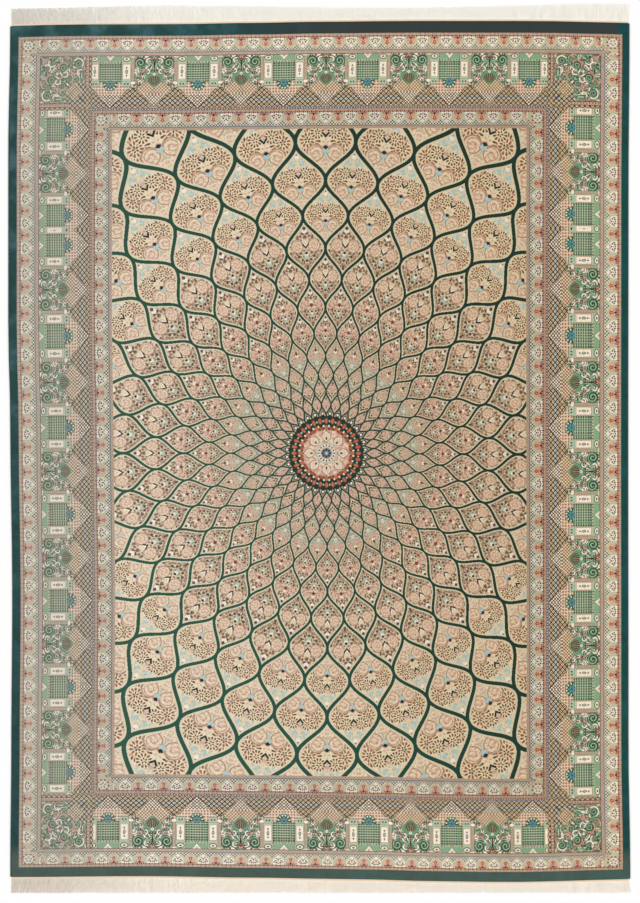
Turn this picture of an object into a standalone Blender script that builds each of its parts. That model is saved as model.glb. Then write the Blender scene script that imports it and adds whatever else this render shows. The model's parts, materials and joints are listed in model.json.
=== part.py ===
"""Hand-knotted silk rug, 2.5 m by 3.45 m of cloth with a short fringe on both ends.

The cloth is one flat slab with slightly wandering edges. An overcast side cord runs along
each long edge, and each end carries a narrow flat-woven strip from which the fringe locks
stand out. Everything lies level on the floor: metres, +Z up, +Y along the rug, and the
origin in the middle of the floor under the rug.
"""

import math
import random
from collections import namedtuple

import bmesh
import bpy
from mathutils import Vector

# Driving sizes of the cloth
RUG_WIDTH = 2.500            # over both side cords
CLOTH_TOP = 1.714            # nominal end lines, measured from the origin
CLOTH_BOTTOM = -1.736
CLOTH_THICKNESS = 0.005      # foundation and clipped pile together
PILE_EDGE_ROUND = 0.001
GAP = 0.0003                 # between pieces that touch
OUTLINE_STEP = 0.15          # longest straight run of an outline

# Overcast side cords
SIDE_CORD_DIAMETER = 0.005

# Flat-woven end strips and their fringe
STRIP_WIDTH = 0.008
STRIP_THICKNESS = 0.003
LOCKS_PER_END = 112
LOCK_ROOT_WIDTH = 0.013
LOCK_WIDTH_SPREAD = 0.10     # share by which one lock's width differs from another's
LOCK_SWAY = 0.0035           # how far a tip leans along the edge
LOCK_SHORTFALL = 0.0025      # how far the shortest tips stay behind the tip line
FRINGE_SEED = 11

# How far an edge strays outwards from its nominal line, all in metres
Wander = namedtuple("Wander", "along outward")
LEFT_EDGE = [
    Wander(-1.70, -0.004), Wander(-1.20, -0.008), Wander(-0.60, -0.012), Wander(0.10, -0.004),
    Wander(0.50, 0.004), Wander(1.20, 0.004), Wander(1.69, -0.004),
]
RIGHT_EDGE = [
    Wander(-1.70, 0.004), Wander(-1.20, -0.003), Wander(0.00, -0.004), Wander(1.00, -0.003),
    Wander(1.70, 0.001),
]
TOP_EDGE = [
    Wander(-1.24, -0.012), Wander(-1.00, -0.006), Wander(-0.60, -0.005), Wander(-0.30, 0.000),
    Wander(0.00, 0.005), Wander(0.35, 0.008), Wander(0.90, 0.008), Wander(1.05, 0.004),
    Wander(1.24, 0.000),
]
BOTTOM_EDGE = [
    Wander(-1.24, -0.008), Wander(-0.70, -0.012), Wander(-0.30, -0.006), Wander(0.10, 0.000),
    Wander(0.50, 0.009), Wander(0.75, 0.012), Wander(1.00, 0.008), Wander(1.20, 0.000),
]

# How far the trimmed fringe tips lie outside the nominal end line
TOP_TIPS = [
    Wander(-1.24, 0.060), Wander(-0.62, 0.072), Wander(0.33, 0.064), Wander(1.24, 0.080),
]
BOTTOM_TIPS = [Wander(-1.24, 0.058), Wander(1.24, 0.058)]

# A lock from root to tip: distance and width as shares of the lock's own, height in metres
LockSection = namedtuple("LockSection", "reach width height")
LOCK_SECTIONS = [
    LockSection(0.22, 1.12, 0.0030),
    LockSection(0.62, 1.00, 0.0024),
    LockSection(1.00, 0.62, 0.0015),
]


def strayed(rows, along):
    """The outward stray at a place on an edge, eased from row to row."""
    along = min(max(along, rows[0].along), rows[-1].along)
    for low, high in zip(rows, rows[1:]):
        if along <= high.along:
            share = (along - low.along) / (high.along - low.along)
            ease = (1 - math.cos(math.pi * share)) / 2
            return low.outward + ease * (high.outward - low.outward)
    return rows[-1].outward


def left_x(y):
    """Outer face of the left side cord."""
    return -RUG_WIDTH / 2 - strayed(LEFT_EDGE, y)


def right_x(y):
    """Outer face of the right side cord."""
    return RUG_WIDTH / 2 + strayed(RIGHT_EDGE, y)


def top_y(x):
    """End of the cloth at the top."""
    return CLOTH_TOP + strayed(TOP_EDGE, x)


def bottom_y(x):
    """End of the cloth at the bottom."""
    return CLOTH_BOTTOM - strayed(BOTTOM_EDGE, x)


def stations(low, high):
    """Evenly spaced places from low to high, no further apart than the outline's step."""
    steps = math.ceil((high - low) / OUTLINE_STEP)
    return [low + (high - low) * i / steps for i in range(steps + 1)]


def side_path(edge_x, inward):
    """Points up one long edge, a distance inwards from the outer face."""
    low, high = bottom_y(edge_x(CLOTH_BOTTOM)), top_y(edge_x(CLOTH_TOP))
    return [(edge_x(y) + inward, y) for y in stations(low, high)]


def material(name, colour, roughness):
    """A cloth finish with a soft sheen."""
    made = bpy.data.materials.new(name)
    made.use_nodes = True
    shader = made.node_tree.nodes["Principled BSDF"]
    shader.inputs["Base Color"].default_value = (*colour, 1.0)
    shader.inputs["Roughness"].default_value = roughness
    shader.inputs["Metallic"].default_value = 0.0
    made.diffuse_color = (*colour, 1.0)
    return made


def add_object(name, data, finish, collection):
    """Put a mesh or curve into the rug's collection with its own finish."""
    thing = bpy.data.objects.new(name, data)
    data.materials.append(finish)
    collection.objects.link(thing)
    return thing


def end_path(end_y):
    """Points along one end of the cloth, from its left corner to its right corner."""
    inset = SIDE_CORD_DIAMETER + GAP
    nominal = CLOTH_TOP if end_y is top_y else CLOTH_BOTTOM
    left, right = left_x(nominal) + inset, right_x(nominal) - inset
    return [(x, end_y(x)) for x in stations(left, right)]


def on_path(path, x):
    """Height of a path of straight runs at a place along it."""
    for (low_x, low_y), (high_x, high_y) in zip(path, path[1:]):
        if x <= high_x:
            return low_y + (high_y - low_y) * max(x - low_x, 0) / (high_x - low_x)
    return path[-1][1]


def cloth(collection):
    """The knotted cloth: one flat slab whose outline follows the four wandering edges."""
    inset = SIDE_CORD_DIAMETER + GAP
    left = side_path(left_x, inset)
    right = side_path(right_x, -inset)
    outline = end_path(bottom_y) + right[1:-1] + end_path(top_y)[::-1] + left[-2:0:-1]

    curve = bpy.data.curves.new("carpet", "CURVE")
    curve.dimensions = "2D"
    curve.fill_mode = "BOTH"
    curve.bevel_depth = PILE_EDGE_ROUND
    curve.bevel_resolution = 1
    curve.offset = -PILE_EDGE_ROUND
    curve.extrude = CLOTH_THICKNESS / 2 - PILE_EDGE_ROUND
    spline = curve.splines.new("POLY")
    spline.points.add(len(outline) - 1)
    for point, (x, y) in zip(spline.points, outline):
        point.co = (x, y, 0, 1)
    spline.use_cyclic_u = True
    slab = add_object("carpet", curve, material("silk_pile", (0.56, 0.46, 0.31), 0.62), collection)
    slab.location.z = CLOTH_THICKNESS / 2


def side_cord(name, edge_x, inward_sign, collection):
    """An overcast cord along one long edge."""
    radius = SIDE_CORD_DIAMETER / 2
    path = side_path(edge_x, inward_sign * radius)
    curve = bpy.data.curves.new(name, "CURVE")
    curve.dimensions = "3D"
    curve.bevel_depth = radius
    curve.bevel_resolution = 2
    curve.use_fill_caps = True
    spline = curve.splines.new("POLY")
    spline.points.add(len(path) - 1)
    for point, (x, y) in zip(spline.points, path):
        point.co = (x, y, 0, 1)
    cord = add_object(name, curve, material(name + "_silk", (0.04, 0.09, 0.08), 0.6), collection)
    cord.location.z = radius


def fringe(name, end_y, tip_line, outward, seed, collection):
    """A flat-woven end strip with its row of locks, fused at the roots.

    The strip is a one-row grid with a column for each lock and each space between two,
    thickened and stood on the floor. Each lock is drawn out of its own root face, section
    by section, so the strip and its locks stay one closed body.
    """
    rng = random.Random(seed)
    start = left_x(CLOTH_TOP * outward) + SIDE_CORD_DIAMETER
    stop = right_x(CLOTH_TOP * outward) - SIDE_CORD_DIAMETER
    pitch = (stop - start) / LOCKS_PER_END
    centres = [start + pitch * (i + 0.5) for i in range(LOCKS_PER_END)]
    columns = [start]
    for centre in centres:
        columns += [centre - LOCK_ROOT_WIDTH / 2, centre + LOCK_ROOT_WIDTH / 2]
    columns.append(stop)

    path = end_path(end_y)

    def inner_y(x):
        return on_path(path, x) + outward * GAP

    body = bmesh.new()
    bmesh.ops.create_grid(body, x_segments=len(columns) - 1, y_segments=1, size=0.5)
    for vert in body.verts:
        x = columns[round((vert.co.x + 0.5) * (len(columns) - 1))]
        outer = vert.co.y * outward > 0
        vert.co = (x, inner_y(x) + (outward * STRIP_WIDTH if outer else 0), 0)
    bmesh.ops.solidify(body, geom=body.faces[:], thickness=STRIP_THICKNESS)
    bmesh.ops.recalc_face_normals(body, faces=body.faces[:])
    lowest = min(vert.co.z for vert in body.verts)
    bmesh.ops.translate(body, verts=body.verts[:], vec=(0, 0, -lowest))

    def root_face(centre):
        place = Vector((centre, inner_y(centre) + outward * STRIP_WIDTH, STRIP_THICKNESS / 2))
        return min(body.faces, key=lambda face: (face.calc_center_median() - place).length)

    roots = [root_face(centre) for centre in centres]
    for centre, face in zip(centres, roots):
        root = inner_y(centre) + outward * STRIP_WIDTH
        tip = (CLOTH_TOP if outward > 0 else CLOTH_BOTTOM) + outward * strayed(tip_line, centre)
        tip -= outward * LOCK_SHORTFALL * rng.random()
        sway = rng.uniform(-LOCK_SWAY, LOCK_SWAY)
        width = LOCK_ROOT_WIDTH * (1 + rng.uniform(-LOCK_WIDTH_SPREAD, LOCK_WIDTH_SPREAD))
        middle = centre
        for section in LOCK_SECTIONS:
            face = bmesh.ops.extrude_discrete_faces(body, faces=[face])["faces"][0]
            reach_x = centre + sway * section.reach ** 2
            for vert in face.verts:
                side = 1 if vert.co.x > middle else -1
                upper = vert.co.z > STRIP_THICKNESS / 10
                vert.co = (
                    reach_x + side * width * section.width / 2,
                    root + (tip - root) * section.reach,
                    section.height if upper else 0,
                )
            middle = reach_x
    mesh = bpy.data.meshes.new(name)
    body.to_mesh(mesh)
    body.free()
    add_object(name, mesh, material(name + "_silk", (0.80, 0.72, 0.60), 0.7), collection)


def build():
    """Clear the scene and lay out the rug's five pieces."""
    for old in list(bpy.data.objects):
        bpy.data.objects.remove(old, do_unlink=True)
    rug = bpy.data.collections.new("silk_rug")
    bpy.context.scene.collection.children.link(rug)
    cloth(rug)
    side_cord("selvedge_left", left_x, 1, rug)
    side_cord("selvedge_right", right_x, -1, rug)
    fringe("fringe_top", top_y, TOP_TIPS, 1, FRINGE_SEED, rug)
    fringe("fringe_bottom", bottom_y, BOTTOM_TIPS, -1, FRINGE_SEED + 1, rug)


build()
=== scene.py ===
"""Dresses the flat silk rug: pile in five zones, woven back, side cords, end strips and fringe.

Every zone of the pile is a closed slab on one shared grid of design lines. Its pattern is a
chart: a node group that turns the place of a knot into the dye of that knot.
"""

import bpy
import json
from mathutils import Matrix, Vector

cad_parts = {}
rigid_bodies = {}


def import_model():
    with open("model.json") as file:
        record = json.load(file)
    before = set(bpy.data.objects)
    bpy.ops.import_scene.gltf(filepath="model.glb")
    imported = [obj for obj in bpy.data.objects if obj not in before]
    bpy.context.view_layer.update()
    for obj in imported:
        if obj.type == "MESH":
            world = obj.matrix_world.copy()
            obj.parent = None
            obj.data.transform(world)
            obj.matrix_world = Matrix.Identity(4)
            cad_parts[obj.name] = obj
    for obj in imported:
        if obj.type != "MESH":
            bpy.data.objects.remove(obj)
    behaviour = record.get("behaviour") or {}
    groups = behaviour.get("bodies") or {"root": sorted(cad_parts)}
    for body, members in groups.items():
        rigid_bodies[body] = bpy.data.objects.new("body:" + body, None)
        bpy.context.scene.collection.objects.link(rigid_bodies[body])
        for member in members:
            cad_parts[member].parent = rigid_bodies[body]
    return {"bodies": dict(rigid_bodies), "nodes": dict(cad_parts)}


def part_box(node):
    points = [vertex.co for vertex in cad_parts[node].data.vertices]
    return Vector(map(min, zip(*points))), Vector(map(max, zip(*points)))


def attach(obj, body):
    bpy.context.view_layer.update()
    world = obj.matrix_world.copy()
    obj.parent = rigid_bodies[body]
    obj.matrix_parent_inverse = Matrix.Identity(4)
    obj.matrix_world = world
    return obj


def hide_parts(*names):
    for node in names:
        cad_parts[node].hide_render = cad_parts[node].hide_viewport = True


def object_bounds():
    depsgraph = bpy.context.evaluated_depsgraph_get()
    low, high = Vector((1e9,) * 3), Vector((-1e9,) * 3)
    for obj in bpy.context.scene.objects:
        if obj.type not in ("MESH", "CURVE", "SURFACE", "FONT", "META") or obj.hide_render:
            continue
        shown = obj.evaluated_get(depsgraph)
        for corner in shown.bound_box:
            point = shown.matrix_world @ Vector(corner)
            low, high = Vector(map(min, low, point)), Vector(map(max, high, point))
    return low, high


bl_info = {
    "name": "Silk rug with a dome lattice",
    "version": (1, 0, 0),
    "blender": (4, 5, 0),
    "location": "3D View > Sidebar > Silk rug",
    "description": "Pile, woven back, side cords, end strips and fringe of a hand-knotted silk rug",
    "category": "Object",
}

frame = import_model()
CAD_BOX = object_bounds()

import json
import math
from collections import namedtuple

import bpy
import numpy as np
from bpy.props import FloatProperty, FloatVectorProperty, IntProperty, PointerProperty
from mathutils import Vector

TAU = 2 * math.pi

# --------------------------------------------------------------------------------------------
# Sizes and dyes that a user may change


def shown(red, green, blue):
    """A colour as a screen shows it, from 0 to 255, turned into the linear values that dyes use."""
    parts = np.array([red, green, blue]) / 255
    return tuple(np.where(parts <= 0.04045, parts / 12.92, ((parts + 0.055) / 1.055) ** 2.4))


def length(name, words, default):
    """A property that holds a length in metres."""
    return FloatProperty(name=name, description=words, default=default, min=0.0, unit="LENGTH")


class RugSizes(bpy.types.PropertyGroup):
    """Sizes of the weave, the pattern's repeats and the fringe."""

    knot: length("Knot", "Width and height of one knot", 0.0016)
    mesh_step: length("Mesh step", "Widest face of the pile's surface", 0.0125)
    weave_thickness: length("Weave thickness", "Thickness of the foundation under the pile", 0.0012)
    swell: length("Swell", "How far the pile rises and falls where the rug lies unevenly", 0.0016)
    cells_round: IntProperty(
        name="Cells round", description="Lattice cells in one ring of the dome", default=32, min=8)
    strands: IntProperty(
        name="Strands", description="Fringe strands at each end", default=2600, min=200)
    strand_width: length("Strand width", "Thickness of one fringe strand", 0.0011)
    wrap: length("Wrap", "Length of side cord that one turn of yarn covers", 0.0030)


DYES = {
    "peach": ("Ground of the dome's cells", (228, 202, 172)),
    "cream": ("Outer tips of the cells", (232, 214, 178)),
    "blush": ("Cells near the rosette", (212, 160, 144)),
    "halo": ("Light rim along the lattice lines", (222, 206, 172)),
    # Emerald and forest: one lattice line dye painted lit on the left and in shade on the right;
    # forest is also a dark green of its own
    "emerald": ("Lattice lines on the left", (22, 80, 62)),
    "forest": ("Lattice lines on the right", (16, 46, 34)),
    "rust": ("Leaf strokes", (150, 96, 60)),
    "umber": ("Dark leaf strokes", (98, 72, 50)),
    "ink": ("Black outlines", (40, 33, 30)),
    "sky": ("Small pale blue blossoms", (172, 200, 196)),
    "vine": ("Thin scrolls", (176, 142, 116)),
    "sage": ("Grey green grounds", (186, 190, 166)),
    "orange": ("Petals round the rosette", (188, 108, 66)),
    "ivory": ("White motifs", (240, 228, 208)),
    "salmon": ("Pink palmettes", (220, 158, 134)),
    "maroon": ("Brackets and red marks", (128, 52, 48)),
    "plum": ("Dark florals", (88, 70, 80)),
    "stone": ("Ground of the guard borders", (206, 192, 162)),
    "tan": ("Dotted strips", (200, 168, 148)),
    "slate": ("Blue grey marks", (104, 116, 134)),
    "leaf": ("Green of the main border", (104, 146, 112)),
    "moss": ("Dark green of the main border", (42, 72, 50)),
    "pistachio": ("Pale green frames", (178, 196, 162)),
    # Azure is also the lighter teal of the plain band's painted sheen clouds
    "azure": ("Blue blossoms", (86, 142, 156)),
    "gold": ("Brown gold circles", (172, 134, 88)),
    "reed": ("Speckled rims near the rosette", (148, 148, 124)),
    "mist": ("Grey blue circles", (188, 200, 194)),
    "soot": ("Dark stretch of the top band", (50, 52, 51)),
    "teal": ("Plain outer band", (18, 66, 64)),
    "fringe": ("Fringe strands", (255, 253, 245)),
    "selvage": ("End strips", (226, 196, 166)),
}


class RugDyes(bpy.types.PropertyGroup):
    """The dyes of the yarns."""


for dye_name, (dye_words, dye_shade) in DYES.items():
    RugDyes.__annotations__[dye_name] = FloatVectorProperty(
        name=dye_name.capitalize(), description=dye_words, subtype="COLOR", size=3,
        default=shown(*dye_shade), min=0.0, max=1.0)


class RugStudio(bpy.types.PropertyGroup):
    """Camera and light."""

    lens: FloatProperty(name="Lens", description="Focal length", default=85.0, unit="CAMERA")
    frame_height: length("Frame height", "Length of floor that the picture takes in", 3.641)
    aim: FloatVectorProperty(
        name="Aim", description="Point of the floor in the middle of the picture", size=2,
        default=(0.0030, -0.0130), unit="LENGTH")
    light: FloatProperty(name="Light", description="Power of each of the lights", default=109.0)
    sky: FloatProperty(name="Sky", description="Strength of the even light all round", default=0.35)


# --------------------------------------------------------------------------------------------
# Layout of the cloth: design lines, and where they lie on the uneven rug

DESIGN_BOX = (-1.2500, 1.2500, -1.7360, 1.7140)     # nominal left, right, bottom and top
CORD_SPACE = 0.0053                                  # side cord and its gap
FIRST_ROW = 0.003                                    # rounded edge of the pile
LAID_LOW = 0.0002                                    # pile clears the weave by this much

# Zones from the outside in, with each zone's width on the four sides and its nominal width
Zone = namedtuple("Zone", "name left right bottom top nominal")
ZONES = [
    Zone("plain_band", 0.0340, 0.0288, 0.0385, 0.0460, 0.036),
    Zone("outer_guard", 0.0910, 0.0882, 0.0741, 0.0830, 0.086),
    Zone("main_border", 0.2090, 0.2150, 0.2190, 0.2100, 0.213),
    Zone("inner_guard", 0.0845, 0.0810, 0.0799, 0.0790, 0.083),
]

# The field bows to the right and downwards in its middle
BOW_RIGHT = 0.0254
BOW_DOWN = 0.0186
DOME_CENTRE = (0.0005, 0.0169)      # in the field, from its own middle

# How far the woven rows lie from even spacing, by their height on the rug
Drift = namedtuple("Drift", "height shift")
ROW_DRIFT = [
    Drift(-1.70, 0.000), Drift(-1.54, 0.003), Drift(-1.20, 0.001), Drift(-0.70, 0.000),
    Drift(-0.25, -0.003), Drift(0.07, -0.008), Drift(0.24, -0.005), Drift(0.40, 0.001),
    Drift(0.56, 0.010), Drift(0.72, 0.0145), Drift(0.88, 0.010), Drift(1.04, -0.002),
    Drift(1.20, -0.012), Drift(1.33, -0.012), Drift(1.47, -0.002), Drift(1.60, 0.000),
]

# The panels of the main border: pitch of one window and one leaf panel
PANEL_PITCH = 0.3375
PILLAR = 0.0625
END_PITCHES = (5.35, 5.43)          # along the bottom and top ends
SIDE_PITCHES = 7.0
SIDE_START, SIDE_STOP = 0.090, 0.074   # middles of the last windows from the corner squares
SHARED_PILLAR = 0.883               # height on the rug where two windows share a pillar

CORNER_MARK = 100.0                 # added to the along coordinate in corner squares


WALL_SHARE = 0.35       # side walls reach this share of the thickness up and down from its middle
WALL_REACH = 0.03       # and lie this near to the outermost point of their side


def node_points(name):
    """Places of a frame node's vertices, one to a row."""
    mesh = frame["nodes"][name].data
    points = np.empty(len(mesh.vertices) * 3)
    mesh.vertices.foreach_get("co", points)
    return points.reshape(-1, 3)


def outline():
    """The cloth's edges, read from the frame's slab: each side's places along it and across."""
    points = node_points("carpet")
    high = points[:, 2].max()
    points = points[abs(points[:, 2] / high - 0.5) < WALL_SHARE]
    if len(points) == 0:
        raise RuntimeError("the carpet node has no side wall to read its outline from")
    edges = {}
    for side, axis, sign in (("left", 0, -1), ("right", 0, 1), ("bottom", 1, -1), ("top", 1, 1)):
        reach = (points[:, axis] * sign).max()
        near = points[points[:, axis] * sign > reach - WALL_REACH]
        order = np.argsort(near[:, 1 - axis])
        edges[side] = near[order][:, [1 - axis, axis]]
    return edges


EDGES = outline()


def boxes():
    """The design rectangle of the cloth and of each zone's inner side, from the outside in."""
    left, right, bottom, top = DESIGN_BOX
    nested = [(left + CORD_SPACE, right - CORD_SPACE, bottom, top)]
    for zone in ZONES:
        left, right = left + zone.left, right - zone.right
        bottom, top = bottom + zone.bottom, top - zone.top
        nested.append((left, right, bottom, top))
    return nested


BOXES = boxes()
FIELD = BOXES[-1]
FIELD_MIDDLE = ((FIELD[0] + FIELD[1]) / 2, (FIELD[2] + FIELD[3]) / 2)


def laid(x, y):
    """Where a design point lies on the floor.

    The field bows by a parabola that is nothing at its edges, and the rows drift a little up
    or down. Each edge's stray is then shared out evenly across the rug, from all of it at that
    edge to none at the opposite one.
    """
    left, right, bottom, top = BOXES[0]
    across = (x - left) / (right - left)
    upward = (y - bottom) / (top - bottom)
    half_x, half_y = (FIELD[1] - FIELD[0]) / 2, (FIELD[3] - FIELD[2]) / 2
    bow_x = BOW_RIGHT * np.clip(1 - ((x - FIELD_MIDDLE[0]) / half_x) ** 2, 0, 1)
    bow_y = BOW_DOWN * np.clip(1 - ((y - FIELD_MIDDLE[1]) / half_y) ** 2, 0, 1)
    stray = {side: np.interp(y if side in ("left", "right") else x, *EDGES[side].T)
             for side in EDGES}
    out_x = x + bow_x + (1 - across) * (stray["left"] - left) + across * (stray["right"] - right)
    drift = np.interp(y, *np.array(ROW_DRIFT).T)
    out_y = (y + drift - bow_y + (1 - upward) * (stray["bottom"] - bottom)
             + upward * (stray["top"] - top))
    return out_x, out_y


def design_lines(axis, step):
    """All grid lines along one axis: every zone's edge, with even steps between."""
    low, high = (0, 1) if axis == 0 else (2, 3)
    marks = [box[low] for box in BOXES] + [box[high] for box in BOXES]
    marks += [BOXES[0][low] + FIRST_ROW, BOXES[0][high] - FIRST_ROW]
    if axis == 1:
        marks.append(SHARED_PILLAR)
    marks = sorted(marks)
    lines = [marks[0]]
    for start, stop in zip(marks, marks[1:]):
        steps = max(1, math.ceil((stop - start) / step))
        lines += list(np.linspace(start, stop, steps + 1)[1:])
    return np.array(lines)


LEVEL_EDGE = 0.25                   # the slow waves fade out over this distance to the edge
RIPPLE_AT = (-0.655, -1.62)         # one small ripple near the bottom end
RIPPLE_REACH = (0.030, 0.16)
RIPPLE_SHARE = 0.9                  # its height as a share of the swell
ROUND_DROP, ROUND_REACH = 0.0012, 0.008     # the edge is rounded off by this much, this far in


def rise(x, y, sizes):
    """Height of the pile over the floor.

    Two slow sine waves fade out towards the edges, one ripple is a Gaussian, and the rounding
    of the edge a parabola.
    """
    left, right, bottom, top = DESIGN_BOX
    inset = np.minimum.reduce([x - left, right - x, y - bottom, top - y])
    share = np.clip(inset / LEVEL_EDGE, 0, 1)
    fade = share ** 2 * (3 - 2 * share)
    waves = 0.5 + 0.25 * np.sin(2.3 * x + 1.1 * y + 0.4) + 0.25 * np.sin(1.3 * y - 2.9 * x + 1.9)
    ripple = np.exp(-((x - RIPPLE_AT[0]) / RIPPLE_REACH[0]) ** 2
                    - ((y - RIPPLE_AT[1]) / RIPPLE_REACH[1]) ** 2)
    rounding = ROUND_DROP * np.clip(1 - inset / ROUND_REACH, 0, 1) ** 2
    return CAD_BOX[1].z + sizes.swell * (waves * fade + RIPPLE_SHARE * ripple) - rounding


# --------------------------------------------------------------------------------------------
# Meshes from arrays


CREASE = math.radians(40)           # edges sharper than this stay sharp


def new_mesh(name, points, faces, crease=CREASE):
    """A mesh object at the origin, from arrays of points and of faces with equally many sides."""
    mesh = bpy.data.meshes.new(name)
    sides = faces.shape[1]
    mesh.vertices.add(len(points))
    mesh.vertices.foreach_set("co", np.asarray(points, np.float32).ravel())
    mesh.loops.add(faces.size)
    mesh.loops.foreach_set("vertex_index", np.asarray(faces, np.int32).ravel())
    mesh.polygons.add(len(faces))
    mesh.polygons.foreach_set("loop_start", np.arange(0, faces.size, sides, dtype=np.int32))
    mesh.update(calc_edges=True)
    if mesh.validate():
        raise RuntimeError(name + ": the mesh had faulty faces")
    mesh.shade_smooth()
    mesh.set_sharp_from_angle(angle=crease)
    made = bpy.data.objects.new(name, mesh)
    bpy.context.scene.collection.objects.link(made)
    return made


def add_map(made, name, places):
    """A UV map from one place for each face corner."""
    layer = made.data.uv_layers.new(name=name)
    layer.uv.foreach_set("vector", np.asarray(places, np.float32).ravel())


def slab(name, columns, rows, kept, low, high, place):
    """A closed slab over the kept cells of a grid.

    Top faces stand at high(x, y), bottom faces at low, and a wall closes each edge where a kept
    cell meets one that isn't. Place(x, y) lays a design point on the floor. Returns the object,
    each face corner's design place and each face's cell centre.
    """
    grid_x, grid_y = np.meshgrid(columns, rows, indexing="ij")
    out_x, out_y = place(grid_x, grid_y)
    top = np.arange(grid_x.size).reshape(grid_x.shape)
    bottom = top + grid_x.size
    points = np.concatenate([
        np.stack([out_x, out_y, high(grid_x, grid_y)], -1).reshape(-1, 3),
        np.stack([out_x, out_y, np.full_like(out_x, low)], -1).reshape(-1, 3)])

    def corners(index, mask):
        return (index[:-1, :-1][mask], index[1:, :-1][mask],
                index[1:, 1:][mask], index[:-1, 1:][mask])

    cell = np.argwhere(kept)
    a, b, c, d = corners(top, kept)
    e, f, g, h = corners(bottom, kept)
    faces = [np.stack([a, b, c, d], 1), np.stack([h, g, f, e], 1)]
    cells = [cell, cell]
    padded = np.pad(kept, 1)
    for shift, wall in (((-1, 0), (3, 0)), ((1, 0), (1, 2)), ((0, -1), (0, 1)), ((0, 1), (2, 3))):
        beside = padded[1 + shift[0]:padded.shape[0] - 1 + shift[0],
                        1 + shift[1]:padded.shape[1] - 1 + shift[1]]
        edge = kept & ~beside
        upper, lower = corners(top, edge), corners(bottom, edge)
        first, last = wall
        faces.append(np.stack([lower[first], lower[last], upper[last], upper[first]], 1))
        cells.append(np.argwhere(edge))
    faces = np.concatenate(faces)
    cells = np.concatenate(cells)
    design = np.stack([grid_x.ravel(), grid_y.ravel()], 1)[faces.ravel() % grid_x.size]
    used, packed = np.unique(faces, return_inverse=True)
    made = new_mesh(name, points[used], packed.reshape(faces.shape))
    middle = np.stack([(columns[:-1] + columns[1:])[cells[:, 0]] / 2,
                       (rows[:-1] + rows[1:])[cells[:, 1]] / 2], 1)
    return made, design, middle


def side_panels(y, cell_y):
    """Panel coordinate up a long side, which steps back where two windows share a pillar."""
    bottom, top = BOXES[3][2], BOXES[3][3]
    pitch = (top - bottom - SIDE_START - SIDE_STOP - 2 * PILLAR) / SIDE_PITCHES
    along = y - bottom - SIDE_START
    along = np.where(cell_y > SHARED_PILLAR, along - 2 * PILLAR, along)
    return along / pitch + 0.5


def band_places(design, middle, zone, outer, inner, end_repeats, side_repeats, corner_pitch):
    """Border coordinates of face corners: repeats along it, and metres in from its outer edge.

    In the corner squares they are the distances in from the two outer edges instead, the first
    of them counted in repeats and marked.
    """
    x, y = design[:, 0], design[:, 1]
    cell_x, cell_y = np.repeat(middle[:, 0], 4), np.repeat(middle[:, 1], 4)
    left, right, bottom, top = outer
    in_left, in_right, in_bottom, in_top = inner
    on_left, on_right = cell_x < in_left, cell_x > in_right
    on_bottom, on_top = cell_y < in_bottom, cell_y > in_top
    end_pitch = (in_right - in_left) / np.where(on_bottom, *end_repeats)

    def depth(distance, width):
        return distance * zone.nominal / width

    from_x = np.where(on_left, depth(x - left, in_left - left),
                      depth(right - x, right - in_right))
    from_y = np.where(on_bottom, depth(y - bottom, in_bottom - bottom),
                      depth(top - y, top - in_top))
    ends = (x - (in_left + in_right) / 2) / end_pitch
    if zone.name == "main_border":
        sides = side_panels(y, cell_y)
    else:
        sides = (y - (in_bottom + in_top) / 2) / (in_top - in_bottom) * side_repeats
    corner = (on_left | on_right) & (on_bottom | on_top)
    along = np.where(on_left | on_right, sides, ends)
    along = np.where(corner, CORNER_MARK + from_x / corner_pitch, along)
    inward = np.where(corner, from_y, np.where(on_left | on_right, from_x, from_y))
    return np.stack([along, inward], 1)


BAKE_MARGIN = 0.004                 # free edge of a bake map, as a share of its width
BAKE_START, BAKE_SHARE, BAKE_GUTTER = 0.01, 0.97, 0.06      # the same for maps of strips


def field_bake_places(design, box):
    """Bake map of a full rectangle: the whole image, with a narrow margin."""
    left, right, bottom, top = box
    u = (design[:, 0] - left) / (right - left)
    v = (design[:, 1] - bottom) / (top - bottom)
    return BAKE_MARGIN + (1 - 2 * BAKE_MARGIN) * np.stack([u, v], 1)


def border_bake_places(design, middle, outer, inner):
    """Bake map of a border: its four sides, halved, lie as eight strips one above the other."""
    x, y = design[:, 0], design[:, 1]
    cell_x, cell_y = np.repeat(middle[:, 0], 4), np.repeat(middle[:, 1], 4)
    left, right, bottom, top = outer
    in_left, in_right, in_bottom, in_top = inner
    on_top, on_bottom = cell_y > in_top, cell_y < in_bottom
    on_end = on_top | on_bottom
    side = np.select([on_top, on_bottom, cell_x < in_left], [0, 1, 2], 3)
    along = np.where(on_end, x - left, y - bottom)
    cell_along = np.where(on_end, cell_x - left, cell_y - bottom)
    half = np.where(on_end, (right - left) / 2, (top - bottom) / 2)
    second = cell_along > half
    across = np.select(
        [side == 0, side == 1, side == 2],
        [(top - y) / (top - in_top), (y - bottom) / (in_bottom - bottom),
         (x - left) / (in_left - left)],
        (right - x) / (right - in_right))
    strip = side * 2 + second
    u = BAKE_START + BAKE_SHARE * (along - np.where(second, half, 0)) / half
    v = (strip + BAKE_GUTTER + (1 - 2 * BAKE_GUTTER) * across) / 8
    return np.stack([u, v], 1)


# --------------------------------------------------------------------------------------------
# Charts: numbers and masks as nodes, worked out for every knot


MADE = {}       # nodes of the tree in hand, by their kind, settings and input values


def feed(tree, node, inputs):
    """Sets a node's inputs, each by its number or name, or links a socket into them."""
    for slot, value in dict(inputs).items():
        value = getattr(value, "socket", value)
        if isinstance(value, bpy.types.NodeSocket):
            tree.links.new(value, node.inputs[slot])
        elif value is not None:
            node.inputs[slot].default_value = value


def add_node(tree, kind, inputs=(), **settings):
    """A new node with its settings and inputs."""
    node = tree.nodes.new(kind)
    for name, setting in settings.items():
        setattr(node, name, setting)
    feed(tree, node, inputs)
    return node


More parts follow.
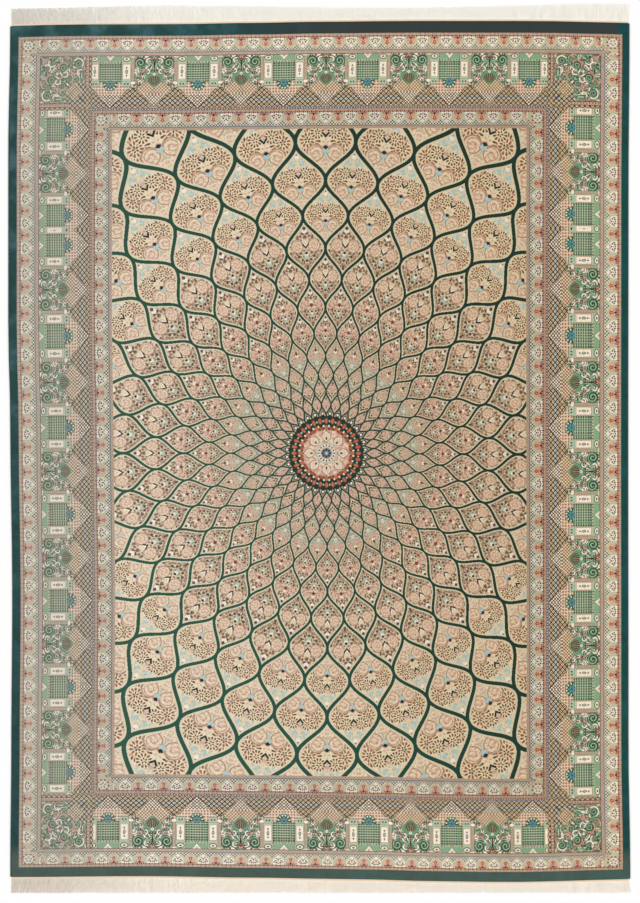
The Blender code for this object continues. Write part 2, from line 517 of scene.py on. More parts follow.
def node_of(tree, kind, values, **settings):
    """A node with these settings and input values, made only the first time it's asked for."""
    names = [value.socket.as_pointer() if hasattr(value, "socket") else value for value in values]
    key = (tree.as_pointer(), kind, *settings.items(), *names)
    if key not in MADE:
        MADE[key] = add_node(tree, kind, enumerate(values), **settings)
    return MADE[key]


def mix(tree, share, under, over):
    """A colour that goes from one to another with the share, as a socket."""
    inputs = {0: share, 6: under, 7: over}
    return add_node(tree, "ShaderNodeMix", inputs, data_type="RGBA").outputs[2]


def arithmetic(operation, words):
    """A method that feeds its number, and the values given with it, to a Math node."""
    def method(self, *values):
        node = node_of(self.tree, "ShaderNodeMath", (self, *values), operation=operation)
        return Number(self.tree, node.outputs[0])

    method.__doc__ = words
    return method


class Number:
    """A number that changes from knot to knot. Arithmetic on it adds nodes to its tree."""

    def __init__(self, tree, socket):
        self.tree = tree
        self.socket = socket

    __add__ = __radd__ = arithmetic("ADD", "The sum.")
    __sub__ = arithmetic("SUBTRACT", "The difference.")
    __mul__ = __rmul__ = __and__ = arithmetic("MULTIPLY", "The product, and both of two masks.")
    __truediv__ = arithmetic("DIVIDE", "The ratio.")
    __lt__ = arithmetic("LESS_THAN", "1 where the number is less than another.")
    __gt__ = arithmetic("GREATER_THAN", "1 where the number is greater than another.")
    __or__ = most = arithmetic("MAXIMUM", "The larger of two numbers, and either of two masks.")
    __abs__ = arithmetic("ABSOLUTE", "The number without its sign.")
    least = arithmetic("MINIMUM", "The smaller of two numbers.")
    times_plus = arithmetic("MULTIPLY_ADD", "The number times a factor, plus an addend.")
    near = arithmetic("COMPARE", "1 within a reach of another number: near(other, reach).")
    wrap = arithmetic("FRACT", "The part after the point.")
    whole = arithmetic("ROUND", "The nearest whole number.")
    floor = arithmetic("FLOOR", "The whole number below.")
    sine = arithmetic("SINE", "The sine of an angle in radians.")
    cosine = arithmetic("COSINE", "The cosine of an angle in radians.")
    root = arithmetic("SQRT", "The square root.")
    angle = arithmetic("ARCTAN2", "Radians clockwise from straight up: x.angle(y).")
    pingpong = arithmetic("PINGPONG", "Back and forth from 0 to a limit.")

    def __rsub__(self, other):
        """A plain number less this one."""
        node = node_of(self.tree, "ShaderNodeMath", (other, self), operation="SUBTRACT")
        return Number(self.tree, node.outputs[0])

    def __invert__(self):
        """1 where the mask is 0, and the other way round."""
        return 1.0 - self

    def between(self, low, high):
        """1 from low to high, and 0 elsewhere."""
        return self.near((low + high) / 2, (high - low) / 2)

    def fold(self):
        """The distance to the nearest whole repeat."""
        return self.pingpong(0.5)

    def repeats(self, pitch):
        """The distance to the nearest multiple of a pitch, as a share of the pitch."""
        return (self * (1 / pitch)).fold()

    def turns_from(self, other):
        """Turns clockwise from straight up, given that this is x and the other y."""
        return self.angle(other).times_plus(1 / TAU, 0.0)

    def smooth(self, low, high):
        """0 below low, 1 above high, eased between."""
        node = node_of(self.tree, "ShaderNodeMapRange", (self, low, high),
                       interpolation_type="SMOOTHSTEP")
        return Number(self.tree, node.outputs["Result"])

    def held(self):
        """The same number, put off by one pass of the renderer.

        A tree is worked out in passes, and what follows a change of socket type waits for the
        next pass. Noise changes the type. If all else is held back with it, few numbers have
        to be kept at once, and the renderer has room for only 255.
        """
        node = node_of(self.tree, "ShaderNodeSeparateXYZ", (self,))
        return Number(self.tree, node.outputs[0])


class Place:
    """A place on a chart, from which distances to points are taken."""

    def __init__(self, x, y):
        self.x, self.y, self.tree = x, y, x.tree
        self.early = self
        self.socket = node_of(self.tree, "ShaderNodeCombineXYZ", (x, y)).outputs[0]

    def vector(self, operation, *points):
        """A vector node on this place and fixed points."""
        values = (self, *[(*point, 0.0) for point in points])
        return node_of(self.tree, "ShaderNodeVectorMath", values, operation=operation)

    def distance(self, x, y):
        """Distance to a point."""
        return Number(self.tree, self.vector("DISTANCE", (x, y)).outputs["Value"])

    def disc(self, x, y, radius):
        """1 inside a circle."""
        return self.distance(x, y) < radius

    def circle(self, x, y, radius, line):
        """1 on a circle's line."""
        return self.distance(x, y).near(radius, line / 2)

    def oval(self, x, y, half_x, half_y):
        """1 inside an oval: the place, moved and shrunk by the half sizes, is less than 1 long."""
        shrunk = self.vector("MULTIPLY_ADD", (1 / half_x, 1 / half_y), (-x / half_x, -y / half_y))
        node = node_of(self.tree, "ShaderNodeVectorMath", (Number(self.tree, shrunk.outputs[0]),),
                       operation="LENGTH")
        return Number(self.tree, node.outputs["Value"]) < 1.0

    def diamond(self, x, y, half_x, half_y):
        """1 inside a diamond: the shares of the half sizes add up to less than 1."""
        return abs(self.x - x).times_plus(1 / half_x, abs(self.y - y) * (1 / half_y)) < 1.0

    def block(self, left, right, bottom, top):
        """1 inside a rectangle."""
        return self.x.between(left, right) & self.y.between(bottom, top)

    def around(self, x, y):
        """Distance and turn about a point, for rings of leaves."""
        turn = (self.x - x).turns_from(self.y - y)
        return self.distance(x, y), turn

    def held(self):
        """The same place, put off by one pass. Its noise isn't put off, so both come together."""
        late = Place(self.x.held(), self.y.held())
        late.early = self
        return late

    def noise(self, scale, stretch=(1.0, 1.0), detail=0.0):
        """Smooth noise over the place, about 0.5."""
        scaled = Number(self.tree, self.early.vector("MULTIPLY", stretch).outputs[0])
        node = node_of(self.tree, "ShaderNodeTexNoise", (scaled, None, scale, detail),
                       noise_dimensions="2D")
        return Number(self.tree, node.outputs[0])


def white_noise(place):
    """A chance number from 0 to 1 for each knot."""
    node = add_node(place.tree, "ShaderNodeTexWhiteNoise", {"Vector": place},
                    noise_dimensions="2D")
    return Number(place.tree, node.outputs["Value"])


LEAF_WIDTH = 0.31       # half width of a leaf, as a share of the space that it has in its ring


def leaves(distance, turn, count, near, far, start=0.0, width=LEAF_WIDTH):
    """A ring of leaves about a point: an oval in distance and in the turn from each leaf's axis."""
    reach = distance.times_plus(2 / (far - near), -(far + near) / (far - near))
    aside = turn.times_plus(count, start).fold() * (1 / width)
    return aside.times_plus(aside, reach * reach) < 1.0


class Chart:
    """The dye of each knot, with motifs laid one over the other."""

    def __init__(self, tree, dyes, ground):
        self.tree = tree
        self.dyes = dyes
        self.last = self.colour(ground)

    def colour(self, dye):
        """A dye by its name, or what another chart shows."""
        return dye.last if isinstance(dye, Chart) else (*getattr(self.dyes, dye), 1.0)

    def knot(self, mask, dye, where=None):
        """Ties a dye, or another chart's colours, over what is there, where the masks say."""
        self.last = mix(self.tree, mask & where if where else mask, self.last, self.colour(dye))

    def stamp(self, place, rows, where=None):
        """Ties small shapes one over the other: each row's dye, shape and measures."""
        for dye, shape, *measures in rows:
            self.knot(getattr(place, shape)(*measures), dye, where)

    def steps(self, number, rows, where=None):
        """Ties each row's dye where the number is less than the row's limit."""
        for dye, limit in rows:
            self.knot(number < limit, dye, where)

    def rings(self, distance, turn, rows, where=None):
        """Ties rings of leaves: each row's dye, count, two radii, start in leaves, and width."""
        for dye, *measures in rows:
            self.knot(leaves(distance, turn, *measures), dye, where)

    def burst(self, place, x, y, rows, where=None):
        """Ties rings of leaves about a point of a place."""
        self.rings(*place.around(x, y), rows, where)

    def flecks(self, place, scale, rows, where=None):
        """Ties fine specks: each row's dye where smooth noise lies between the row's two levels."""
        grain = place.noise(scale)
        for low, high, dye in rows:
            self.knot(grain.between(low, high), dye, where)


def new_group(name, inputs, outputs):
    """A shader node group with typed sockets. Returns its tree, its inputs and its last node."""
    MADE.clear()
    tree = bpy.data.node_groups.new(name, "ShaderNodeTree")
    kinds = {"vector": "NodeSocketVector", "colour": "NodeSocketColor", "value": "NodeSocketFloat"}
    for in_out, sockets in (("INPUT", inputs), ("OUTPUT", outputs)):
        for socket, kind in sockets:
            tree.interface.new_socket(socket, in_out=in_out, socket_type=kinds[kind])
    entry = tree.nodes.new("NodeGroupInput")
    leave = tree.nodes.new("NodeGroupOutput")
    return tree, entry.outputs, leave


def pattern_group(name):
    """A group that turns a place into a dye."""
    return new_group(name, [("Place", "vector")], [("Color", "colour")])


def snapped(tree, socket, step_x, step_y):
    """The middle of the knot that a place falls in, as two numbers."""
    split = add_node(tree, "ShaderNodeSeparateXYZ", {0: socket}).outputs
    parts = [(Number(tree, split[0]), step_x), (Number(tree, split[1]), step_y)]
    return [(part * (1 / step)).floor().times_plus(step, step / 2) for part, step in parts]


# --------------------------------------------------------------------------------------------
# The field: rings of ogee cells round a rosette

# Radius of ring k is a cubic: the sum of these times k to the power 0, 1, 2 and 3
RINGS = (0.1515, 0.03635, 0.00509, 0.00006)
LINE_LEAST, LINE_SHARE = 0.0024, 0.056      # a lattice line's width: least, and share of the cell
LINE_EXTRA = 0.0009                         # added near the rosette
RIM_LEAST, RIM_SHARE = 0.001, 0.028         # the light rim's width on one side of a line
CELL_TIP = 1.4                              # height of a cell's tip in half widths


def ring_at(radius):
    """The ring number at a radius, which isn't whole between rings.

    The quadratic part is turned round exactly, and one Newton step takes in the cubic part.
    """
    least, slope, curve, cube = RINGS
    inside = (radius - least).times_plus(4 * curve, slope ** 2).most(0.0)
    guess = inside.root().times_plus(1 / (2 * curve), -slope / (2 * curve))
    return guess - guess * guess * guess * cube / ring_spacing(guess)


def ring_spacing(ring):
    """How much the radius grows from one ring to the next."""
    _, slope, curve, cube = RINGS
    return ring.times_plus(ring.times_plus(3 * cube, 2 * curve), slope)


def garland(chart, cell, height, where):
    """A dark zigzag of knots on cream, with its low point on the axis."""
    band = abs(cell.y - height - cell.x * 0.72)
    chart.knot(where & (band < 0.22), "cream")
    chart.knot(where & (band < 0.15) & (cell.noise(9.0) > 0.46), "umber")
    chart.knot(where & (band < 0.09) & (cell.noise(11.0) > 0.54), "ink")


def slim_cells(chart, cell, ring):
    """Fills of the innermost four rings: pink fields, dark garlands and grey green tips."""
    second, third, fourth = ring.near(2.0, 0.5), ring.near(3.0, 0.5), ring > 3.5
    tip, foot = cell.y > 0.62, cell.y < -0.10
    chart.flecks(cell, 6.0, ((0.0, 0.41, "stone"), (0.64, 1.0, "vine")))
    chart.knot((third | fourth) & (tip | foot), "stone")
    chart.flecks(cell, 9.0, ((0.0, 0.42, "sage"), (0.52, 1.0, "reed")), (third | fourth) & foot)
    chart.flecks(cell, 7.0, ((0.0, 0.40, "reed"), (0.58, 1.0, "umber")), tip)
    stripe = (cell.x < 0.09) & cell.y.between(0.05, 0.85)
    chart.knot(stripe & (ring < 2.5) & (cell.noise(7.0) > 0.44), "maroon")
    garland(chart, cell, -0.52, second)
    chart.knot(cell.diamond(0.0, -0.18, 0.16, 0.14) & second, "umber")
    chart.knot(cell.oval(0.22, 0.28, 0.30, 0.22) & third, "blush")
    garland(chart, cell, -0.30, third)
    chart.knot(cell.diamond(0.0, -0.12, 0.13, 0.12) & third, "moss")
    chart.knot(cell.oval(0.38, 0.14, 0.34, 0.30) & fourth, "blush")
    chart.flecks(cell, 10.0, ((0.0, 0.37, "stone"), (0.66, 1.0, "rust")), fourth & ~foot)
    chart.flecks(cell, 12.0, ((0.0, 0.40, "stone"), (0.60, 1.0, "vine")), (third | fourth) & ~foot)
    chart.stamp(cell, (
        ("ivory", "oval", 0.0, 0.30, 0.20, 0.09),
        ("umber", "diamond", 0.0, 0.44, 0.17, 0.15)), fourth)
    chart.knot(cell.diamond(0.0, -0.26, 0.12, 0.22) & (ring < 1.5), "umber")
    chart.burst(cell, 0.0, -0.42, (("ivory", 6, 0.06, 0.18),), fourth)


def scroll(chart, cell, x, y, radius, where=None):
    """A faint spiral on a lighter ground."""
    distance, turn = cell.around(x, y)
    inside = distance < radius
    inside = inside & where if where else inside
    chart.knot(inside, "peach")
    chart.flecks(cell, 13.0, ((0.0, 0.38, "blush"), (0.62, 1.0, "cream")), inside)
    chart.knot(inside & (turn + distance * (1.9 / radius)).wrap().near(0.5, 0.085), "vine")
    chart.knot(distance.near(radius, 0.022), "vine", where)


def chevron(chart, cell, height, lean, reach, where=None):
    """A small black V that points inwards."""
    above = cell.y - cell.x * lean
    chart.knot((cell.x < reach) & above.near(height, 0.050), "ink", where)


def fan_cells(chart, cell, ring):
    """Fills of the middle rings: dashes inwards and at the tip, two faint scrolls between."""
    lower, upper, large = cell.y < -0.04, cell.y > 0.44, ring > 6.5
    chart.flecks(cell, 10.0, ((0.0, 0.40, "cream"), (0.60, 1.0, "tan")))
    chart.flecks(cell, 7.5, ((0.0, 0.37, "sage"), (0.62, 1.0, "vine")), lower | upper)
    chart.burst(cell, 0.0, -0.04, (
        ("rust", 8, 0.22, 0.38, 0.5, 0.30), ("umber", 13, 0.40, 0.54, 0.5, 0.30),
        ("vine", 17, 0.56, 0.71, 0.5, 0.30), ("umber", 21, 0.74, 0.88, 0.5, 0.30),
        ("umber", 24, 0.91, 1.05, 0.5, 0.30), ("umber", 27, 1.08, 1.22, 0.5, 0.30)), lower)
    chart.burst(cell, 0.0, 0.98, (
        ("umber", 8, 0.22, 0.36, 0.5, 0.28), ("rust", 13, 0.38, 0.53, 0.5, 0.28),
        ("umber", 19, 0.56, 0.70, 0.5, 0.28)), upper)
    chart.flecks(cell, 11.0, ((0.67, 1.0, "umber"), (0.33, 0.37, "reed")))
    scroll(chart, cell, 0.42, 0.16, 0.29, large)
    chart.flecks(cell, 10.0, ((0.0, 0.38, "blush"), (0.62, 1.0, "vine")), ~large & ~lower & ~upper)
    chart.stamp(cell, (
        ("sage", "oval", 0.0, -0.30, 0.13, 0.16),
        ("ivory", "diamond", 0.0, -0.24, 0.11, 0.10),
        ("ink", "diamond", 0.0, -0.17, 0.09, 0.07)))
    chart.knot((cell.x < 0.12) & (cell.y - cell.x * 1.2).near(0.15, 0.05) & large, "ivory")
    chevron(chart, cell, 0.06, 1.15, 0.16, large)
    chart.stamp(cell, (
        ("maroon", "diamond", 0.0, 0.16, 0.14, 0.13),
        ("umber", "diamond", 0.0, 0.22, 0.08, 0.07),
        ("ivory", "oval", 0.0, 0.33, 0.10, 0.06)), ~large)
    chart.stamp(cell, (
        ("ivory", "oval", 0.0, 0.82, 0.14, 0.12),
        ("plum", "diamond", 0.0, 0.92, 0.12, 0.10),
        ("maroon", "diamond", 0.0, 0.95, 0.06, 0.06)))


def wide_cells(chart, cell):
    """Fills of the outer rings: two scrolls inwards, plumes of leaf strokes, a light tip."""
    upper = cell.y > 0.36
    chart.flecks(cell, 13.0, ((0.61, 1.0, "tan"), (0.0, 0.38, "cream")))
    chart.knot(upper, "cream")
    chart.flecks(cell, 14.0, ((0.0, 0.39, "sage"), (0.60, 1.0, "peach")), upper)
    chart.knot(cell.noise(6.0).near(0.47, 0.014) & upper, "vine")
    wedge = (cell.x < (cell.y - 0.24).times_plus(0.62, 0.0)) & (cell.y > 0.24)
    plume = (cell.distance(0.33, -0.40) > 0.29) & cell.y.between(-0.42, 0.58)
    plume = plume & (cell.y - cell.x * 0.9 > -1.14) & (cell.x.times_plus(0.80, cell.y) > 0.0)
    plume = plume & ~wedge
    chart.knot(plume, "cream")
    chart.flecks(cell, 12.0, ((0.62, 1.0, "tan"),), plume)
    chart.burst(cell, 0.60, 0.03, (
        ("umber", 5, 0.02, 0.11), ("rust", 11, 0.12, 0.25, 0.5),
        ("rust", 22, 0.27, 0.45), ("umber", 22, 0.34, 0.44)), plume)
    whorl = cell.disc(0.27, 0.28, 0.25) & plume
    chart.knot(whorl, "cream")
    chart.burst(cell, 0.27, 0.28, (
        ("umber", 5, 0.02, 0.10), ("rust", 12, 0.115, 0.235, 0.5),
        ("umber", 12, 0.17, 0.23, 0.5)), whorl)
    scroll(chart, cell, 0.33, -0.40, 0.27)
    chart.stamp(cell, (
        ("sage", "oval", 0.0, -0.56, 0.035, 0.13),
        ("sky", "oval", 0.0, -0.33, 0.11, 0.085),
        ("ink", "diamond", 0.0, -0.22, 0.10, 0.075)))
    chevron(chart, cell, 0.13, 1.15, 0.12)
    chart.stamp(cell, (
        ("sage", "diamond", 0.0, 0.25, 0.06, 0.06),
        ("blush", "oval", 0.0, 0.37, 0.09, 0.055)))
    chart.knot(cell.oval(0.20, 0.68, 0.055, 0.12) | cell.oval(0.09, 0.80, 0.035, 0.07), "sky")
    chart.stamp(cell, (
        ("mist", "oval", 0.33, 0.58, 0.045, 0.08),
        ("ivory", "oval", 0.0, 0.93, 0.10, 0.10)))
    chart.knot(cell.diamond(0.0, 1.03, 0.13, 0.06) | cell.oval(0.0, 1.06, 0.04, 0.07), "ink")


PETAL_START, PETAL_LENGTH = 0.046, 0.044    # where the ivory petals of the rosette begin


def rosette(chart, radius, turn, place):
    """The middle of the dome: eight ivory ogee petals on a disc, a rust ring and dark petals.

    Half the width of an ivory petal is a sine along it and the square of that sine.
    """
    edge, scallop = turn.times_plus(32, 0.0).fold(), turn.times_plus(16, 0.5).fold()
    chart.knot(radius < edge.times_plus(0.016, 0.147), "forest")
    chart.rings(radius, turn, (
        ("maroon", 32, 0.117, 0.143), ("orange", 32, 0.120, 0.140, 0.0, 0.23),
        ("sky", 32, 0.1255, 0.133, 0.5, 0.14)))
    chart.knot(radius < scallop.times_plus(0.016, 0.109), "moss")
    chart.knot(radius < scallop.times_plus(0.016, 0.1055), "rust")
    chart.rings(radius, turn, (
        ("orange", 16, 0.096, 0.113, 0.0, 0.22), ("ivory", 32, 0.106, 0.115, 0.5, 0.15),
        ("maroon", 32, 0.0955, 0.104, 0.5, 0.17)))
    chart.knot(radius < scallop.times_plus(0.020, 0.089), "blush")
    chart.knot(radius < scallop.times_plus(0.014, 0.084), "peach")
    chart.flecks(place, 75.0, ((0.0, 0.34, "cream"), (0.55, 1.0, "blush")), radius < 0.094)
    chart.rings(radius, turn, (("blush", 16, 0.072, 0.092, 0.5, 0.22),))
    eighth = turn.times_plus(8, 0.0).fold() * (TAU / 8)
    aside = radius * eighth.sine()
    outward = radius * eighth.cosine()
    swell = (outward - PETAL_START).times_plus(math.pi / PETAL_LENGTH, 0.0).sine().most(0.0)
    half = swell * swell * 0.004 + swell * 0.013
    inside = outward.between(PETAL_START, PETAL_START + PETAL_LENGTH)
    chart.knot((aside < half + 0.003) & outward.between(0.043, 0.094), "umber")
    chart.knot(aside < half, "ivory", inside)
    chart.knot(aside < half - 0.004, "peach", inside)
    chart.stamp(Place(aside, outward), (
        ("umber", "diamond", 0.0, 0.060, 0.0042, 0.0085),
        ("slate", "disc", 0.0, 0.0965, 0.0036)))
    chart.steps(radius, (("sage", 0.043), ("ivory", 0.036)))
    chart.rings(radius, turn, (("maroon", 16, 0.027, 0.035, 0.0, 0.30),))
    chart.steps(radius, (("stone", 0.0265), ("slate", 0.0205)))
    chart.rings(radius, turn, (("ink", 8, 0.009, 0.019, 0.0, 0.28),))
    chart.knot(radius < 0.006, "sky")


def field_group(sizes, dyes):
    """Colour of the field from the place on the dome, in metres from its centre."""
    tree, entry, leave = pattern_group("dome_lattice")
    x, y = snapped(tree, entry["Place"], sizes.knot, sizes.knot)
    place = Place(x, y)
    radius = place.distance(0.0, 0.0)
    turn = x.turns_from(y)
    cells = sizes.cells_round
    aside = turn.times_plus(cells, 0.0).fold()
    ring_place = ring_at(radius)
    edge = (ring_place * math.pi).cosine().times_plus(-0.25, 0.25)
    odd = aside < edge
    to_line = aside - edge
    from_axis = odd.times_plus(aside * 2.0 - 0.5, 0.5 - aside)
    ring = ((ring_place - odd) * 0.5).whole().times_plus(2.0, odd)
    least, slope, curve, cube = RINGS
    ring_radius = ring.times_plus(ring.times_plus(ring.times_plus(cube, curve), slope), least)
    spacing = ring_spacing(ring)
    cell_x = from_axis * 2.0 * (radius / ring_radius)
    cell_y = (radius - ring_radius) / spacing * CELL_TIP
    width = (radius * (TAU / cells)).held()
    tilt = (ring_place * math.pi).sine() * (0.25 * math.pi) * width / spacing
    off_line = abs(to_line.held()) * width / tilt.times_plus(tilt, 1.0).root()
    cell = Place(cell_x, cell_y).held()
    ring, radius, turn, place = ring.held(), radius.held(), turn.held(), place.held()

    outer = ring.smooth(2.5, 6.0)
    chart = Chart(tree, dyes, "blush")
    chart.knot(outer, "peach")
    fan, wide = Chart(tree, dyes, chart), Chart(tree, dyes, "peach")
    slim_cells(chart, cell, ring)
    fan_cells(fan, cell, ring)
    wide_cells(wide, cell)
    chart.knot(ring > 4.5, fan)
    chart.knot(ring > 8.5, wide)

    line = width.times_plus(LINE_SHARE / 2, LINE_LEAST / 2)
    line = line + (1.0 - ring.smooth(0.0, 4.0)) * LINE_EXTRA
    rims = Chart(tree, dyes, "tan")
    rims.flecks(cell, 6.0, ((0.0, 0.45, "reed"), (0.62, 1.0, "stone")))
    rims.knot(outer, "halo")
    chart.knot(off_line < line + width * RIM_SHARE + RIM_LEAST, rims)
    # Painted light of the nap: the lattice lines are painted lit emerald on the left and shaded
    # forest to the right
    lines = Chart(tree, dyes, "emerald")
    lines.knot((place.x + place.y * 0.35).smooth(-0.9, 0.7), "forest")
    chart.knot(off_line < line, lines)
    rosette(chart, radius, turn, place)
    chart.rings(radius, turn, (
        ("forest", cells, 0.149, 0.169, 0.5, 0.24), ("ivory", cells, 0.154, 0.164, 0.5, 0.14)))
    feed(tree, leave, {"Color": chart.last})
    return tree


# --------------------------------------------------------------------------------------------
# Guard borders: ivory shields and salmon palmettes between dotted strips

GUARD_PITCH = 0.1015                # one shield and one palmette
GUARD_TEETH = 6                     # beads to a pitch
# Depths: end of the outer beaded strip, points of the shields, blue rule, inner beaded strip
GUARD_ZIGZAG, GUARD_POINTS, GUARD_RULE, GUARD_STRIP = 0.0155, 0.0615, 0.0690, 0.0715


def guard_group(sizes, dyes):
    """Colour of a guard border from repeats along it and metres in from its outer edge."""
    tree, entry, leave = pattern_group("guard_border")
    knots = round(GUARD_PITCH / sizes.knot)
    along, inward = snapped(tree, entry["Place"], 1 / knots, sizes.knot)
    corner = along > CORNER_MARK / 2
    first = (along - CORNER_MARK) * GUARD_PITCH
    depth = corner.times_plus(first.least(inward) - inward, inward)
    run = corner.times_plus(first.most(inward) * (1 / GUARD_PITCH) - along, along)
    shield_x = run.fold() * GUARD_PITCH
    palmette_x = GUARD_PITCH / 2 - shield_x
    chart = Chart(tree, dyes, "stone")

    from_gap = abs(shield_x - 0.0254)
    lattice = (depth - 0.0465) > from_gap * 0.60
    chart.knot(lattice, "reed")
    plus, minus = net(shield_x, depth, 0.0127)
    chart.knot(lattice & (plus > 0.16) & (minus > 0.16), "ivory")
    chart.knot(lattice & (plus < 0.27) & (minus < 0.27), "ink")

    in_row = depth.between(GUARD_ZIGZAG, GUARD_POINTS)
    half = (GUARD_POINTS - depth).times_plus(0.93, 0.0).least(0.022)
    chart.knot((shield_x < half + 0.003) & in_row, "pistachio")
    chart.knot((shield_x < half) & in_row, "ivory")
    shield = Place(shield_x, depth)
    chart.stamp(shield, (
        ("ink", "disc", 0.0, 0.0235, 0.003), ("ink", "disc", 0.0085, 0.026, 0.0036),
        ("umber", "disc", 0.0165, 0.029, 0.0032), ("salmon", "disc", 0.0, 0.032, 0.003),
        ("ink", "disc", 0.011, 0.0355, 0.0036), ("umber", "disc", 0.0, 0.040, 0.0038),
        ("plum", "disc", 0.0065, 0.045, 0.0026)))

    palmette = Place(palmette_x, depth)
    taper = (0.060 - depth).times_plus(0.95, 0.0)
    chart.knot((palmette_x < taper.least(0.0225)) & in_row, "pistachio")
    body = (palmette_x < (taper - 0.003).least(0.019)) & in_row
    chart.knot(body, "salmon")
    chart.flecks(palmette, 170.0, ((0.0, 0.42, "peach"), (0.62, 1.0, "tan")), body)
    chart.burst(palmette, 0.0, 0.040, (
        ("orange", 5, 0.003, 0.010), ("blush", 9, 0.011, 0.0165, 0.5)), body)
    chart.stamp(palmette, (
        ("maroon", "circle", 0.0105, 0.0165, 0.0055, 0.0028),
        ("maroon", "diamond", 0.0, 0.022, 0.0055, 0.007),
        ("ink", "oval", 0.0, 0.023, 0.0026, 0.007)), in_row)
    chart.knot(palmette.circle(0.0, 0.040, 0.0042, 0.0022), "maroon")

    flower = Place(first, inward)
    in_corner = corner & flower.block(0.018, 0.070, 0.018, 0.070)
    chart.knot(in_corner, "stone")
    chart.knot(flower.disc(0.038, 0.038, 0.0175), "ivory", in_corner)
    chart.burst(flower, 0.038, 0.038, (
        ("plum", 5, 0.004, 0.014, 0.0, 0.30), ("sage", 5, 0.006, 0.012, 0.0, 0.16),
        ("umber", 9, 0.019, 0.026, 0.5, 0.26)), in_corner)
    chart.knot(flower.disc(0.062, 0.062, 0.0065), "salmon", in_corner)

    tooth = GUARD_PITCH / GUARD_TEETH
    bead_x = (run * GUARD_TEETH).fold() * tooth
    beads, gaps = Place(bead_x, depth), Place(tooth / 2 - bead_x, depth)
    for low, high, bead, dot in (
            (-1.0, GUARD_ZIGZAG, 0.0082, 0.004), (GUARD_STRIP, 1.0, 0.0775, 0.0775)):
        strip = depth.between(low, high)
        chart.knot(strip, "stone")
        chart.flecks(palmette, 190.0, ((0.0, 0.44, "tan"), (0.60, 1.0, "vine")), strip)
        chart.knot(beads.disc(0.0, bead, 0.003), "salmon")
        chart.knot(gaps.disc(0.0, dot, 0.0026), "reed")
        chart.knot(beads.circle(0.0, bead, 0.0046, 0.0018), "vine", strip)
    chart.knot(gaps.disc(0.0, 0.0138, 0.0038), "maroon")
    chart.knot(beads.disc(0.0, 0.014, 0.0026), "plum")
    chart.knot(depth < 0.0014, "plum")
    chart.knot(depth.between(GUARD_RULE, GUARD_STRIP), "slate")
    chart.knot(depth > 0.0835, "plum")
    feed(tree, leave, {"Color": chart.last})
    return tree


# --------------------------------------------------------------------------------------------
# Main border: windows and leaf panels over a diaper of ringed circles


WINDOW_END = 0.106                  # inner end of the pillars and the light
LIGHT_HALF = 0.0425                 # half width of the latticed light
LIGHT_PITCH = 0.0098
BLOSSOM_DEPTH = 0.112


def window_panel(chart, x, depth):
    """Two pillars with a latticed light between them and a blue blossom at its inner end."""
    light = (x < LIGHT_HALF) & depth.between(0.028, 0.107)
    chart.knot((x < 0.079) & (depth < WINDOW_END), "leaf")
    bars = depth.repeats(LIGHT_PITCH) < 0.15
    chart.knot(light, "reed")
    chart.knot(bars, "pistachio", light)
    chart.knot(light & ~bars & (x.repeats(LIGHT_PITCH) < 0.29), "moss")
    chart.knot(x.between(0.027, 0.030), "leaf", light)
    grille = (x + depth).repeats(0.0095) < 0.17
    chart.knot((x < 0.042) & (depth < 0.023) & grille, "pistachio")
    chart.knot(x < (0.0175 - depth) * 0.90, "ivory")
    chart.knot(x < (0.0105 - depth) * 0.70, "blush")
    beads = (x.repeats(0.0117) > 0.24) & (x < 0.042)
    chart.knot((x < LIGHT_HALF) & depth.between(0.0232, 0.030), "pistachio")
    chart.knot(beads & depth.between(0.024, 0.0292), "maroon")

    pillar = abs(x - PILLAR)
    post = Place(pillar, depth)
    chart.steps(pillar, (("umber", 0.0205), ("pistachio", 0.019)), depth < WINDOW_END)
    chart.stamp(post, (
        ("ink", "oval", 0.0, 0.0115, 0.016, 0.0102),
        ("ivory", "oval", 0.0, 0.0115, 0.0128, 0.0072),
        ("umber", "oval", 0.0, 0.0115, 0.0055, 0.0032)))
    for dye, half, low, high in (
            ("leaf", 0.019, 0.0225, 0.0245), ("vine", 0.017, 0.031, 0.095),
            ("ivory", 0.0138, 0.0335, 0.0925)):
        chart.knot((pillar < half) & depth.between(low, high), dye)
    chart.stamp(post, (
        ("plum", "oval", 0.0, 0.063, 0.005, 0.0085), ("sage", "oval", 0.0, 0.063, 0.0026, 0.005),
        ("umber", "diamond", 0.0, 0.047, 0.004, 0.005),
        ("umber", "diamond", 0.0, 0.079, 0.004, 0.005)))
    chart.knot((pillar < 0.0175) & depth.between(0.100, 0.124), "leaf")
    chart.knot((pillar < 0.015) & depth.between(0.102, 0.122), "sage")
    chart.burst(post, 0.0, BLOSSOM_DEPTH, (("moss", 3, 0.0015, 0.0095, 0.3),))

    distance, turn = Place(x, depth).around(0.0, BLOSSOM_DEPTH)
    inner = depth > 0.104
    chart.knot(distance < (turn * 9.0).fold().times_plus(0.008, 0.0255), "moss", inner)
    chart.rings(distance, turn, (
        ("leaf", 9, 0.018, 0.0285, 0.0, 0.30), ("ivory", 11, 0.017, 0.025, 0.5, 0.20)), inner)
    chart.knot(distance < 0.015, "azure")
    chart.rings(distance, turn, (
        ("leaf", 6, 0.006, 0.015, 0.0, 0.20), ("teal", 6, 0.007, 0.015, 0.5, 0.16)))
    chart.knot(distance < 0.0045, "plum")


def coil(chart, place, x, y, radius):
    """A tight spiral of dark and light green lines round a dark middle."""
    distance, turn = place.around(x, y)
    phase = (turn + distance * (1.8 / radius)).wrap()
    inside = distance < radius
    chart.knot(distance < radius + 0.0022, "moss")
    chart.knot(inside, "leaf")
    chart.steps(phase, (("moss", 0.42), ("ink", 0.16)), inside)
    chart.knot(phase.between(0.62, 0.80), "pistachio", inside)
    chart.knot(distance < radius * 0.18, "ink")


